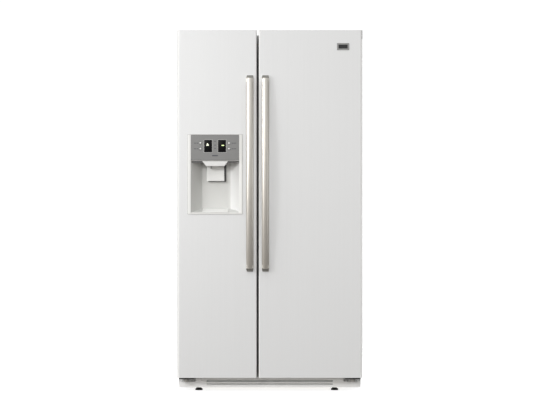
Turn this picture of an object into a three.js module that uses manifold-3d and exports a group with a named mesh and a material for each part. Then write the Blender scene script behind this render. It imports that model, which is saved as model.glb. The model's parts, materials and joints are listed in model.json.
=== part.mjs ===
// A side by side refrigerator: a tall narrow freezer on the left and a wider fridge on the right,
// each behind a foamed steel door hung on pins at its outer edge. The freezer door holds an ice and
// water dispenser. Millimetres, +Z up. The origin is on the floor under the middle of the object, and
// the doors face -Y.
import * as THREE from 'three';
import Module from 'manifold-3d';
import { ConvexGeometry } from 'three/addons/geometries/ConvexGeometry.js';
import { mergeVertices } from 'three/addons/utils/BufferGeometryUtils.js';

const wasm = await Module();
wasm.setup();

const between = (centre, half) => [centre - half, centre + half];
const grow = ([lo, hi], by) => [lo - by, hi + by];

// ---------------------------------------------------------------- driving dimensions

const WIDTH = 894;               // across the closed doors
const DEPTH = 780;               // front of the handles to the back of the machine cover
const DOOR_TOP = 1753;
const DOOR_BOTTOM = 76;
const HANDLE_REACH = 55;         // how far the bowed handles stand off the doors
const DOOR_THICK = 100;
const SEAL_GAP = 13;             // door back to cabinet front, filled by the gasket
const CABINET_DEPTH = 600;
const CABINET_HALF = 445;        // half the cabinet's width
const CABINET_TOP = 1740;
const CABINET_FOOT = 30;         // lower edge of the steel sides
const DOOR_GAP = 10;
const GAP_CENTRE = -58;          // the freezer is the narrower side
const FIT = 0.3;                 // clearance between touching pieces

const DOOR_FRONT = -DEPTH / 2 + HANDLE_REACH;
const DOOR_BACK = DOOR_FRONT + DOOR_THICK;
const CABINET_FRONT = DOOR_BACK + SEAL_GAP;
const CABINET_BACK = CABINET_FRONT + CABINET_DEPTH;
const OBJECT_BACK = DEPTH / 2;

const STEEL = 1.2;               // sheet thickness
const PLASTIC = 2.5;             // wall of mouldings
const LINER_ROOM = 0.5;          // from a liner's outer face to the sheet around it
const PAST = 1;                  // a cutting tool runs this far past the face it cuts

// Hinge pins stand in from the door's outer side and back from its front.
const PIN_X = WIDTH / 2 - 44;
const PIN_Y = DOOR_FRONT + 42;
const PIN_R = 6;
const BUSH_R = 6.6;
const DOOR_SWING = 110;          // degrees
const PLATE = 4;
const ARM_HALF = 11;
const ARM_Z = [CABINET_TOP + FIT, CABINET_TOP + PLATE];
const COVER_TOP = DOOR_TOP - 1;
const COVER_WALL = 2.5;
const LOW_PLATE_Z = 66.5;
const COLLAR_R = 11;
const NUT_R = 13.5;

// Compartments, as the inner faces of the liners.
const FLOOR_Z = 125;
const CEILING_Z = 1693;
const FREEZER_X = [-384, -92];
const FRIDGE_X = [-24, 384];
const COMPARTMENT_BACK = 300;
const STEP_FRONT = 80;           // the liners step forward over the machine compartment
const STEP_TOP = 354;
const STEP_LOW = 346;
const RAIL_X = [FREEZER_X[1] + PLASTIC + LINER_ROOM, FRIDGE_X[0] - PLASTIC - LINER_ROOM];
const RAIL_THICK = 3;

// What hangs and stands in the compartments.
const RIB = 7;                   // square section of the ribs along the liners' sides
const RIB_FRONT = CABINET_FRONT + 112;
const SHELF_FRONT = CABINET_FRONT + 104;
const SHELF_THICK = 5;
const SIDE_GAP = 4;              // from a shelf or drawer to the liner's wall
const FREEZER_SHELVES = [{ name: 'freezer_shelf_upper', z: 1286 }, { name: 'freezer_shelf_lower', z: 880 }];
const FRIDGE_SHELVES = [
  { name: 'fridge_shelf_upper', z: 1310 },
  { name: 'fridge_shelf_lower', z: 940 },
  { name: 'crisper_cover', z: 560 },
];
const FREEZER_SHELF_BACK = COMPARTMENT_BACK - 12;
const FRIDGE_SHELF_BACK = COMPARTMENT_BACK - 22;
const DRAWER_ROWS = [
  { row: 'upper', z: [362, 545], back: 270 },
  { row: 'lower', z: [140, 330], back: 62 },
];
const RIM = 4;
const DUCT_BOX = { x: [80, 280], thick: 18, z: [520, 1640] };
const VENTS = { x: [110, 250], z: [640, 900, 1160, 1420], tall: 14, deep: 10 };
const ICE_BIN = { x: [-354, -130], front: CABINET_FRONT + 46, back: 240, tall: 190, above: 20, wall: 3 };
const AUGER = { above: 58, radius: 40, pitch: 70, shaft: 6, blade: 12 };

// Base, back and machine compartment.
const MACHINE_FRONT = 140;
const MACHINE_TOP = 300;
const FOAM_BOTTOM = 76;
const CHANNEL = 2.5;             // wall of the pressed steel channels
const CHANNEL_INNER = 380;       // inner sides of the two side channels
const FRONT_CHANNEL_BACK = -150;
const FEET = [{ name: 'left', x: -348 }, { name: 'right', x: 319 }];
const FOOT_Y = -187;
const FOOT_R = 18.5;
const BOLT_R = 5;
const ROLLERS = [{ name: 'left', x: -400 }, { name: 'right', x: 400 }];
const ROLLER_Y = 325;
const ROLLER_R = 20;
const ROLLER_HALF = 9;
const AXLE_R = 4;
const GRILLE_X = [-442, 442];
const GRILLE_FRONT = DOOR_FRONT + 83;
const GRILLE_Z = [20, 70];
const GRILLE_WALL = 3;
const SLOT_HALF = 308;
const SLOTS = [[32.4, 38], [45, 55]];
const BACK_RIBS = { centres: [-260, 0, 260], half: 45, z: [420, CABINET_TOP - 120], proud: 5 };
const COVER_RAISED = { half: 300, z: [60, 270], wall: 3 };
const LOUVRES = { columns: [-200, 0, 200], half: 80, from: 84, to: 255, step: 24, tall: 8 };
const COMPRESSOR = { x: 190, y: 258, foot: 46 };
const VALVE = { x: 352, z: 190 };
const VALVE_R = 13.2;
const GLAND = { x: -352, z: 90 };
const GLAND_BORE = 5;

// Doors. A door's dyke is the ridge on its back that reaches into the compartment.
const CORNER = { frontHinge: 12, frontFree: 6, backHinge: 14, backFree: 3 };
const CAP_CORNER = { frontHinge: 10, frontFree: 4, backHinge: 14, backFree: 3 };
const CORE_CORNER = { frontHinge: 9, frontFree: 3, backHinge: 12, backFree: 1 };
const DOORS = [
  { name: 'freezer', side: -1, x: [-WIDTH / 2, GAP_CENTRE - DOOR_GAP / 2], dyke: [-376, -110] },
  { name: 'fridge', side: 1, x: [GAP_CENTRE + DOOR_GAP / 2, WIDTH / 2], dyke: [-9, 376] },
];
const DYKE_BACK = CABINET_FRONT + 40;
const DYKE_WALL = 22;
const DYKE_Z = [138, 1685];
const DYKE_SHEET = 1.7;
const SKIN_BACK = DOOR_BACK - 15;
const TOP_CAP = 34;              // heights of the end caps
const BOTTOM_CAP = 20;
const CAP_INSET = 1.5;
const CAP_WALL = 4;
const CORE_Z = [DOOR_BOTTOM + CAP_INSET + BOTTOM_CAP + FIT, DOOR_TOP - CAP_INSET - TOP_CAP - FIT];
const HINGE_RECESS = 15.5;       // depth of the pocket in the top cap that the hinge's arm swings in
const GASKET_WIDE = 18;
const GASKET_Z = [104, 1722];
const GASKET_PAST_PIN = 2;       // the gasket's edge lies this far outboard of the hinge pin's line
const GASKET_INSET = 7;          // from the door's free edge
const BIN_X = Object.fromEntries(DOORS.map(({ name, dyke }) => [name, grow(dyke, -DYKE_WALL - 0.5)]));
const DOOR_BIN_Z = { freezer: [600, 730], upper: [1180, 1300], lower: [620, 770] };
const BIN_BACK = CABINET_FRONT + 90;
const BIN_CORNER = { front: 2, back: 20 };

// Handles: a bowed bar on two chamfered end pieces.
const HANDLE_Z = [589, 1534];
const HANDLE_HALF = 18;
const HANDLE_INSET = 32.5;       // door's free edge to the bar's centre line
const HANDLE_END_REACH = 28;
const HANDLE_CHAMFER = 15;
const BAR_THICK = 14;
const BAR_STEPS = 26;

// Dispenser, in the freezer door.
const DISPENSER_X = -263.5;
const PANEL_HALF = 116;          // half the width of the control panel and the recess below it
const PANEL_Z = [1126, 1248];
const FRAME_PROUD = 3;
const FRAME_X = between(DISPENSER_X, 133.5);
const FRAME_Z = [864, 1251];
const HOUSING_WALL = 3;
const PANEL_POCKET = DOOR_FRONT + 21;
const PADDLE_AXLE_R = 3;
const CAVITY_BACK = DOOR_FRONT + 85;
const CAVITY = {
  front: between(DISPENSER_X, PANEL_HALF),
  back: [DISPENSER_X - 66, DISPENSER_X + 58.5],
  floor: [873, 890],             // at the front and at the back
  top: 1122,
};
const WINDOW = { offset: 33.5, half: 20, z: [1163, 1224] };
const BUTTON_R = 4.9;
const BUTTONS = [
  { name: 'upper_left', x: DISPENSER_X - 70, z: 1207.5 },
  { name: 'lower_left', x: DISPENSER_X - 70, z: 1180.5 },
  { name: 'upper_right', x: DISPENSER_X + 68, z: 1207.5 },
  { name: 'lower_right', x: DISPENSER_X + 68, z: 1180.5 },
];
const PIVOT = { y: DOOR_FRONT + 74, z: 1112 };
const LUG_X = 50;                // from the dispenser's middle to each lug that carries the paddle
const PADDLE = { half: [43, 41], y: [PIVOT.y - 17, PIVOT.y - 3], z: [1026, PIVOT.z - 12] };
const DRIP_GRILLE = { half: 62, thick: 3, slots: [16, 25, 34, 43, 52, 61], slotHalf: 2, slotEnd: 52 };
const CHUTE_HALF = 37;
const CHUTE_WALL = 3;
const FLAP_AXIS = { y: DOOR_FRONT + 49, z: 1152 };
const FLAP = { half: 32, length: 29.5, thick: 3 };
const SPOUT = {
  half: [43.5, 62],
  y: [[DOOR_FRONT + 7, DOOR_FRONT + 53], [DOOR_FRONT + 1, DOOR_FRONT + 60]],
  z: [1097.5, 1121],
};
const DUCT = {
  front: DOOR_FRONT + 15,
  back: DOOR_FRONT + 55,
  mouth: [DOOR_FRONT + 153, DOOR_FRONT + 207],
  floorLow: 1150,
  floorHigh: 1262,
  roofLow: 1200,
  roofHigh: 1296,
  top: 1300,
  bottom: 1110,
};

// ---------------------------------------------------------------- materials

const finish = (color, roughness, metalness = 0) =>
  new THREE.MeshStandardMaterial({ color, roughness, metalness });

const doorSteel = finish(0xe4e4e2, 0.38, 0.55);
const cabinetPaint = finish(0xd9d9d6, 0.45, 0.3);
const whitePlastic = finish(0xefefeb, 0.45);
const linerPlastic = finish(0xf3f4f2, 0.35);
const greyPlastic = finish(0x8f8f8c, 0.5);
const clearPlastic = finish(0xdfe8ec, 0.15);
const panelSilver = finish(0x9a9a98, 0.4, 0.5);
const buttonSilver = finish(0xd8d8d6, 0.3, 0.6);
const handleSteel = finish(0xb9b2a6, 0.28, 0.9);
const darkSteel = finish(0x3a3a3a, 0.5, 0.7);
const zincSteel = finish(0x9b9d9c, 0.45, 0.8);
const blackPaint = finish(0x1c1c1c, 0.5, 0.3);
const glass = finish(0xcfe0dc, 0.05);
const foam = finish(0xe8ddb0, 0.9);
const gasketRubber = finish(0x9c9c99, 0.8);
const footRubber = finish(0x2a2a2a, 0.8);

// ---------------------------------------------------------------- shapes

const X = new THREE.Vector3(1, 0, 0);
const Y = new THREE.Vector3(0, 1, 0);
const Z = new THREE.Vector3(0, 0, 1);
const ARC_STEPS = 4;             // per quarter turn
const SKIN_ARC_STEPS = 8;

function block([x0, x1], [y0, y1], [z0, z1]) {
  const geometry = new THREE.BoxGeometry(x1 - x0, y1 - y0, z1 - z0);
  return geometry.translate((x0 + x1) / 2, (y0 + y1) / 2, (z0 + z1) / 2);
}

function extrude(shape, depth, curveSegments = ARC_STEPS) {
  return new THREE.ExtrudeGeometry(shape, { depth, bevelEnabled: false, curveSegments });
}

// A shape drawn in X and Y, standing from z0 to z1.
function upright(shape, [z0, z1], curveSegments) {
  return extrude(shape, z1 - z0, curveSegments).translate(0, 0, z0);
}

// A shape drawn in Y and Z, running from x0 to x1.
function across(shape, [x0, x1]) {
  const basis = new THREE.Matrix4().makeBasis(Y, Z, X);
  return extrude(shape, x1 - x0).applyMatrix4(basis).translate(x0, 0, 0);
}

// A shape drawn in X and Z, running from y0 to y1.
function through(shape, [y0, y1]) {
  const basis = new THREE.Matrix4().makeBasis(X, Z, Y.clone().negate());
  return extrude(shape, y1 - y0).applyMatrix4(basis).translate(0, y1, 0);
}

function polygon(points) {
  return new THREE.Shape(points.map(([u, v]) => new THREE.Vector2(u, v)));
}

// Radii run from the low u, low v corner: that one, high u low v, high u high v, low u high v.
function roundedRect([u0, u1], [v0, v1], radii) {
  const [a, b, c, d] = Array.isArray(radii) ? radii : [radii, radii, radii, radii];
  const shape = new THREE.Shape();
  shape.moveTo(u0 + a, v0);
  shape.lineTo(u1 - b, v0);
  if (b) shape.absarc(u1 - b, v0 + b, b, -Math.PI / 2, 0);
  shape.lineTo(u1, v1 - c);
  if (c) shape.absarc(u1 - c, v1 - c, c, 0, Math.PI / 2);
  shape.lineTo(u0 + d, v1);
  if (d) shape.absarc(u0 + d, v1 - d, d, Math.PI / 2, Math.PI);
  shape.lineTo(u0, v0 + a);
  if (a) shape.absarc(u0 + a, v0 + a, a, Math.PI, 1.5 * Math.PI);
  return shape;
}

// A round bar along an axis from `from` to `to`, centred on the other two coordinates.
function rod(axis, [u, v], [from, to], radius, segments = 20) {
  const geometry = new THREE.CylinderGeometry(radius, radius, to - from, segments);
  const middle = (from + to) / 2;
  if (axis === 'x') return geometry.rotateZ(Math.PI / 2).translate(middle, u, v);
  if (axis === 'y') return geometry.translate(u, middle, v);
  return geometry.rotateX(Math.PI / 2).translate(u, v, middle);
}

// A body of revolution about the Z axis, from a profile of [radius, height] points.
function turned(profile, segments) {
  const points = profile.map(([radius, z]) => new THREE.Vector2(radius, z));
  return new THREE.LatheGeometry(points, segments).rotateX(Math.PI / 2);
}

// The convex body with these two rectangles as its ends. Each is {x, y, z} with one value fixed.
function taper(first, second) {
  const points = [];
  for (const { x, y, z } of [first, second]) {
    for (const px of [x].flat()) {
      for (const py of [y].flat()) {
        for (const pz of [z].flat()) points.push(new THREE.Vector3(px, py, pz));
      }
    }
  }
  return new ConvexGeometry(points);
}

function solid(geometry) {
  if (geometry instanceof wasm.Manifold) return geometry;
  const plain = geometry.index ? geometry.toNonIndexed() : geometry;
  const bare = new THREE.BufferGeometry().setAttribute('position', plain.getAttribute('position'));
  const merged = mergeVertices(bare, 1e-3);
  return new wasm.Manifold(new wasm.Mesh({
    numProp: 3,
    vertProperties: merged.attributes.position.array,
    triVerts: new Uint32Array(merged.index.array),
  }));
}

const join = (...pieces) => pieces.map(solid).reduce((a, b) => a.add(b));
const common = (a, b) => solid(a).intersect(solid(b));
const cut = (body, ...tools) => tools.map(solid).reduce((a, b) => a.subtract(b), solid(body));

function surface(body) {
  const mesh = body.getMesh();
  const geometry = new THREE.BufferGeometry();
  geometry.setAttribute('position', new THREE.BufferAttribute(new Float32Array(mesh.vertProperties), 3));
  geometry.setIndex(new THREE.BufferAttribute(new Uint32Array(mesh.triVerts), 1));
  const flat = geometry.toNonIndexed();
  flat.computeVertexNormals();
  return flat;
}

const refrigerator = new THREE.Group();

function part(name, body, material) {
  const mesh = new THREE.Mesh(surface(solid(body)), material);
  mesh.name = name;
  refrigerator.add(mesh);
}

// ---------------------------------------------------------------- cabinet

// The steel wrap: two sides, the top, and a front frame that the door gaskets seal against.
function outerShell() {
  const sides = [-CABINET_HALF, CABINET_HALF];
  const height = [CABINET_FOOT, CABINET_TOP];
  const body = block(sides, [CABINET_FRONT, CABINET_BACK], height);
  const inside = block(
    grow(sides, -STEEL),
    [CABINET_FRONT + STEEL, CABINET_BACK + PAST],
    [0, CABINET_TOP - STEEL],
  );
  const sheet = [CABINET_FRONT - PAST, CABINET_FRONT + STEEL + PAST];
  const opening = block(
    grow([FREEZER_X[0], FRIDGE_X[1]], PLASTIC + LINER_ROOM),
    sheet,
    grow([FLOOR_Z, CEILING_Z], PLASTIC + LINER_ROOM),
  );
  const footRecess = block(grow(sides, -8), sheet, [0, GRILLE_Z[1] + 2]);
  part('outer_shell', cut(body, inside, opening, footRecess), cabinetPaint);
}

function compartmentSide(offset, front) {
  return polygon([
    [front, FLOOR_Z - offset],
    [front, CEILING_Z + offset],
    [COMPARTMENT_BACK + offset, CEILING_Z + offset],
    [COMPARTMENT_BACK + offset, STEP_TOP - offset],
    [STEP_FRONT + offset, STEP_LOW - offset],
    [STEP_FRONT + offset, FLOOR_Z - offset],
  ]);
}

function foamCore() {
  const inner = CABINET_HALF - STEEL - FIT;
  const body = block(
    [-inner, inner],
    [CABINET_FRONT + STEEL + FIT, CABINET_BACK - STEEL - 2 * FIT],
    [FOAM_BOTTOM, CABINET_TOP - STEEL - FIT],
  );
  const side = compartmentSide(PLASTIC + FIT, CABINET_FRONT - PAST);
  const hollow = (x) => across(side, grow(x, PLASTIC + FIT));
  const machine = block(
    grow([-inner, inner], PAST),
    [MACHINE_FRONT, CABINET_BACK + PAST],
    [0, MACHINE_TOP],
  );
  const railSeat = block(
    grow(RAIL_X, FIT),
    [CABINET_FRONT - PAST, CABINET_FRONT + RAIL_THICK + FIT],
    [0, CEILING_Z + 5],
  );
  part('foam_core', cut(body, hollow(FREEZER_X), hollow(FRIDGE_X), machine, railSeat), foam);
}

// The strip over the wall between the compartments, where both doors' gaskets close.
function centreRail() {
  const depth = [CABINET_FRONT, CABINET_FRONT + RAIL_THICK];
  part('centre_rail', block(RAIL_X, depth, grow([FLOOR_Z, CEILING_Z], 1)), greyPlastic);
}

// A moulded liner with the side ribs that its shelves and drawers run on.
function liner(name, x, ribs) {
  const shell = cut(
    across(compartmentSide(PLASTIC, CABINET_FRONT), grow(x, PLASTIC)),
    across(compartmentSide(0, CABINET_FRONT - PAST), x),
  );
  const bars = ribs.flatMap(([z, back]) => [
    block([x[0] - PAST, x[0] + RIB], [RIB_FRONT, back], [z - RIB, z]),
    block([x[1] - RIB, x[1] + PAST], [RIB_FRONT, back], [z - RIB, z]),
  ]);
  part(name, join(shell, ...bars), linerPlastic);
}

// A thin sheet with three broad ribs pressed outwards.
function backPanel() {
  const { centres, half, z, proud } = BACK_RIBS;
  const face = [CABINET_BACK + FIT, CABINET_BACK + FIT + STEEL];
  const sheet = block(grow([-CABINET_HALF, CABINET_HALF], -2), face, grow([MACHINE_TOP, CABINET_TOP], -3));
  const raised = centres.map((x) => block(between(x, half), [face[0], CABINET_BACK + proud], z));
  const behind = centres.map((x) =>
    block(between(x, half - STEEL), [CABINET_BACK, CABINET_BACK + proud - STEEL], grow(z, -STEEL)));
  part('back_panel', cut(join(sheet, ...raised), ...behind), cabinetPaint);
}

// Two side channels and a front channel, all open underneath, and a tray that carries the compressor.
function baseFrame() {
  const top = FOAM_BOTTOM - FIT;
  const inner = CABINET_HALF - STEEL - FIT;
  const length = [CABINET_FRONT + STEEL + FIT, CABINET_BACK - 4];
  const height = [CABINET_FOOT, top];
  const under = [CABINET_FOOT - PAST, top - CHANNEL];
  const channel = (x, y) => [block(x, y, height), block(grow(x, -CHANNEL), grow(y, -CHANNEL), under)];
  const [left, leftRoom] = channel([-inner, -CHANNEL_INNER], length);
  const [right, rightRoom] = channel([CHANNEL_INNER, inner], length);
  const [front, frontRoom] = channel([-inner, inner], [length[0], FRONT_CHANNEL_BACK]);
  const tray = block([-inner, inner], [MACHINE_FRONT, length[1]], [CABINET_FOOT, CABINET_FOOT + PLATE]);
  const boltHoles = FEET.map(({ x }) => rod('z', [x, FOOT_Y], [0, top + PAST], BOLT_R + 0.4, 12));
  const bosses = FEET.map(({ x }) => rod('z', [x, FOOT_Y], [top - 22, top - 1], 11, 12));
  const wheelSlots = ROLLERS.map(({ x }) =>
    block(between(x, ROLLER_HALF + 1.5), between(ROLLER_Y, ROLLER_R + 4), [0, 2 * ROLLER_R + 6]));
  const axles = ROLLERS.map(({ x }) =>
    rod('x', [ROLLER_Y, ROLLER_R], between(x, ROLLER_HALF + 6), AXLE_R, 12));
  const fork = { out: ROLLER_HALF + 4.5, half: 3, z: [ROLLER_R - 8, CABINET_FOOT + 2] };
  const forks = ROLLERS.flatMap(({ x }) => [-1, 1].map((side) =>
    block(between(x + side * fork.out, fork.half), between(ROLLER_Y, 12), fork.z)));
  const channels = cut(join(left, right, front), leftRoom, rightRoom, frontRoom);
  const frame = cut(join(channels, tray, ...bosses), ...boltHoles, ...wheelSlots);
  part('base_frame', join(frame, ...forks, ...axles), zincSteel);
}

function feetAndRollers() {
  for (const { name, x } of FEET) {
    const profile = [[0, 0], [FOOT_R, 0], [FOOT_R, 5], [FOOT_R - 6.5, 11], [0, 11]];
    const pad = turned(profile, 24).translate(x, FOOT_Y, 0);
    const nut = rod('z', [x, FOOT_Y], [10, 20], 10, 6);
    const bolt = rod('z', [x, FOOT_Y], [19, 68], BOLT_R, 16);
    part(`levelling_foot_${name}`, join(pad, nut, bolt), footRubber);
  }
  for (const { name, x } of ROLLERS) {
    const wheel = rod('x', [ROLLER_Y, ROLLER_R], between(x, ROLLER_HALF), ROLLER_R, 28);
    const bore = rod('x', [ROLLER_Y, ROLLER_R], between(x, ROLLER_HALF + PAST), AXLE_R + 0.6, 12);
    part(`rear_roller_${name}`, cut(wheel, bore), greyPlastic);
  }
}

// The plinth grille: a lip along the bottom, two long slots, and end blocks that sweep up to the doors.
function baseGrille() {
  const back = CABINET_FRONT - FIT;
  const body = block(GRILLE_X, [GRILLE_FRONT, back], GRILLE_Z);
  const low = SLOTS[0][0] - 1.2;
  const sweep = new THREE.Shape();
  sweep.moveTo(-SLOT_HALF - 42, GRILLE_Z[1] + PAST);
  sweep.quadraticCurveTo(-SLOT_HALF - 14, 52, -SLOT_HALF + 8, low);
  sweep.lineTo(SLOT_HALF - 8, low);
  sweep.quadraticCurveTo(SLOT_HALF + 14, 52, SLOT_HALF + 42, GRILLE_Z[1] + PAST);
  const recess = through(sweep, [GRILLE_FRONT - PAST, GRILLE_FRONT + 9]);
  const whole = [GRILLE_FRONT - PAST, back + PAST];
  const slots = SLOTS.map((z) => block(between(0, SLOT_HALF), whole, z));
  const behind = block(
    grow(GRILLE_X, -GRILLE_WALL),
    [GRILLE_FRONT + 15, back + PAST],
    [0, GRILLE_Z[1] - GRILLE_WALL],
  );
  const hingeNotches = [-1, 1].map((side) =>
    block(between(side * PIN_X, 43), whole, [48, GRILLE_Z[1] + PAST]));
  part('base_grille', cut(body, recess, ...slots, behind, ...hingeNotches), whitePlastic);
}

// ---------------------------------------------------------------- hinges

function topHinge(name, side) {
  const x = side * PIN_X;
  const base = block(between(x, 28), [CABINET_FRONT + 6, CABINET_FRONT + 108], ARM_Z);
  const arm = block(between(x, ARM_HALF), [PIN_Y, CABINET_FRONT + 8], ARM_Z);
  const nose = rod('z', [x, PIN_Y], ARM_Z, ARM_HALF, 24);
  const pin = rod('z', [x, PIN_Y], [DOOR_TOP - 30, ARM_Z[1] - 1], PIN_R, 20);
  part(`top_hinge_${name}`, join(base, arm, nose, pin), zincSteel);
}

// The cover is a shallow lid on the cabinet's top with a narrow nose along the hinge's arm.
function hingeCover(name, side) {
  const x = side * PIN_X;
  const over = [ARM_Z[1] + FIT, COVER_TOP];
  const under = [CABINET_TOP - PAST, COVER_TOP - COVER_WALL];
  const nose = join(
    block(between(x, ARM_HALF), [PIN_Y, CABINET_FRONT + 8], over),
    rod('z', [x, PIN_Y], over, ARM_HALF, 24),
  );
  const depth = [CABINET_FRONT + 2, CABINET_FRONT + 116];
  const lid = block(between(x, 34), depth, [CABINET_TOP + FIT, COVER_TOP]);
  const room = block(between(x, 31), grow(depth, -COVER_WALL), under);
  const armRoom = block(
    between(x, ARM_HALF + FIT),
    [CABINET_FRONT - PAST, CABINET_FRONT + 20],
    [under[0], over[0]],
  );
  const underNose = block(between(x, ARM_HALF - 2), [PIN_Y - 5, CABINET_FRONT + 10], under);
  part(`hinge_cover_${name}`, cut(join(nose, lid), room, armRoom, underNose), greyPlastic);
}

function bottomHinge(name, side) {
  const x = side * PIN_X;
  const back = CABINET_FRONT - FIT;
  const plate = block(between(x, 37), [PIN_Y - 16, back], [LOW_PLATE_Z, LOW_PLATE_Z + 5]);
  const leg = block(between(x, 34), [back - PLATE, back], [CABINET_FOOT + 4, LOW_PLATE_Z + 1]);
  const nut = rod('z', [x, PIN_Y], [LOW_PLATE_Z - 13, LOW_PLATE_Z + 1], NUT_R, 6);
  const collar = rod('z', [x, PIN_Y], [LOW_PLATE_Z + 4, DOOR_BOTTOM + CAP_INSET - FIT], COLLAR_R, 20);
  const pin = rod('z', [x, PIN_Y], [LOW_PLATE_Z + 4, DOOR_BOTTOM + 18], PIN_R, 20);
  part(`bottom_hinge_${name}`, join(plate, leg, nut, collar, pin), darkSteel);
}

// ---------------------------------------------------------------- machine compartment

function machineCover() {
  const { half, z: raisedZ, wall } = COVER_RAISED;
  const whole = [CABINET_BACK - PAST, OBJECT_BACK + PAST];
  const sheet = block([-441, 441], [CABINET_BACK + FIT, CABINET_BACK + 2], [CABINET_FOOT + 4, MACHINE_TOP]);
  const raised = block(between(0, half), [CABINET_BACK + FIT, OBJECT_BACK], raisedZ);
  const pocket = block(between(0, half - wall), [whole[0], OBJECT_BACK - 2], grow(raisedZ, -wall));
  const slots = [];
  for (const x of LOUVRES.columns) {
    for (let z = LOUVRES.from; z < LOUVRES.to; z += LOUVRES.step) {
      slots.push(block(between(x, LOUVRES.half), whole, [z, z + LOUVRES.tall]));
    }
  }
  const valveHole = rod('y', [VALVE.x, VALVE.z], whole, VALVE_R + 1.3, 20);
  const cableHole = rod('y', [GLAND.x, GLAND.z], whole, GLAND_BORE, 16);
  const gland = cut(rod('y', [GLAND.x, GLAND.z], [CABINET_BACK + FIT, OBJECT_BACK], 13, 20), cableHole);
  const cover = cut(join(sheet, raised), pocket, ...slots, valveHole, cableHole);
  part('machine_cover', join(cover, gland), greyPlastic);
}

function compressor() {
  const { x, y, foot } = COMPRESSOR;
  const profile = [[0, 0], [62, 0], [76, 14], [80, 70], [76, 128], [58, 152], [0, 160]];
  const can = turned(profile, 24).translate(x, y, foot);
  const mount = block(between(x, 105), between(y, 60), [foot - 6, foot + 1]);
  const grommets = [-1, 1].flatMap((sx) => [-1, 1].map((sy) =>
    rod('z', [x + sx * 88, y + sy * 46], [CABINET_FOOT + PLATE + FIT, foot - 5], 9, 10)));
  part('compressor', join(can, mount, ...grommets), blackPaint);
}

function waterValve() {
  const { x, z } = VALVE;
  const body = block(between(x, 24), [325, 370], between(z, 30));
  const nipple = rod('y', [x, z], [369, OBJECT_BACK], VALVE_R, 24);
  const bore = rod('y', [x, z], [376, OBJECT_BACK + PAST], 8, 16);
  const bracket = block([x + 20, CABINET_HALF - STEEL - FIT], [340, 344], between(z, 20));
  part('water_valve', cut(join(body, nipple, bracket), bore), whitePlastic);
}

// ---------------------------------------------------------------- inside the compartments

function shelf(name, x, z, back) {
  const wide = grow(x, -SIDE_GAP);
  const pane = block(wide, [SHELF_FRONT + 5, back], [z + FIT, z + SHELF_THICK]);
  const trim = block(wide, [SHELF_FRONT, SHELF_FRONT + 9], [z + FIT, z + 18]);
  const lip = block(wide, [back - 6, back], [z + FIT, z + 14]);
  part(name, join(pane, trim, lip), glass);
}

// An open box that hangs by its rims on the liner's ribs.
function drawer(name, x, z, back) {
  const walls = grow(x, -RIB - 5);
  const depth = [SHELF_FRONT, back];
  const tub = block(walls, depth, z);
  const hollow = block(grow(walls, -PLASTIC), grow(depth, -PLASTIC - 0.5), [z[0] + PLASTIC, z[1] + PAST]);
  const rims = block(grow(x, -SIDE_GAP), [SHELF_FRONT + 8, back], [z[1] - RIM, z[1]]);
  const grip = block(grow(walls, -40), [SHELF_FRONT - 12, SHELF_FRONT + 1], [z[1] - 26, z[1] - 20]);
  const front = block(grow(x, -SIDE_GAP), [SHELF_FRONT, SHELF_FRONT + 5], z);
  part(name, cut(join(tub, rims, front, grip), hollow), clearPlastic);
}

function airDuct() {
  const { x, thick, z } = DUCT_BOX;
  const front = COMPARTMENT_BACK - thick;
  const body = block(x, [front, COMPARTMENT_BACK - FIT], z);
  const pocket = [front - PAST, front + VENTS.deep];
  const vents = VENTS.z.map((low) => block(VENTS.x, pocket, [low, low + VENTS.tall]));
  part('fridge_air_duct', cut(body, ...vents), linerPlastic);
}

// The bin's floor is open in front, over the chute in the door.
function iceBin(shelfZ) {
  const { x, front, back, tall, above, wall } = ICE_BIN;
  const z = [shelfZ + above, shelfZ + above + tall];
  const tub = block(x, [front, back], z);
  const hollow = block(grow(x, -wall), grow([front, back], -wall), [z[0] + wall, z[1] + PAST]);
  const outlet = block(between(DISPENSER_X, 32), [front + 6, front + 40], between(z[0], wall + PAST));
  const axis = [DISPENSER_X, z[0] + AUGER.above];
  const shaftHole = rod('y', axis, [back - wall - PAST, back + PAST], AUGER.shaft + 0.5, 16);
  const legs = [-1, 1].map((side) => block(
    between(DISPENSER_X + side * 90, 6),
    [front + 70, back - 10],
    [shelfZ + SHELF_THICK + FIT, z[0] + PAST],
  ));
  part('ice_bin', join(cut(tub, hollow, outlet, shaftHole), ...legs), clearPlastic);
}

// A blade wound round a shaft that turns in the bin's back wall.
function iceAuger(shelfZ) {
  const axis = shelfZ + ICE_BIN.above + AUGER.above;
  const from = ICE_BIN.front + 14;
  const length = ICE_BIN.back - 20 - from;
  const end = ICE_BIN.back + 12;
  const shaft = rod('y', [DISPENSER_X, axis], [from, end], AUGER.shaft, 8);
  const coupling = rod('y', [DISPENSER_X, axis], [end - 10, end], 18, 12);
  const steps = Math.round((length / AUGER.pitch) * 10);
  const half = AUGER.blade / 2;
  const bar = polygon([[2, -half], [AUGER.radius, -half], [AUGER.radius, half], [2, half]]);
  const blade = new THREE.ExtrudeGeometry(bar, { depth: length, steps, bevelEnabled: false });
  const spot = blade.getAttribute('position');
  for (let i = 0; i < spot.count; i += 1) {
    const point = new THREE.Vector3().fromBufferAttribute(spot, i);
    point.applyAxisAngle(Z, (point.z / AUGER.pitch) * 2 * Math.PI);
    spot.setXYZ(i, point.x, point.y, point.z);
  }
  blade.rotateX(-Math.PI / 2).translate(DISPENSER_X, from, axis);
  part('ice_auger', join(shaft, coupling, blade), whitePlastic);
}

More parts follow.
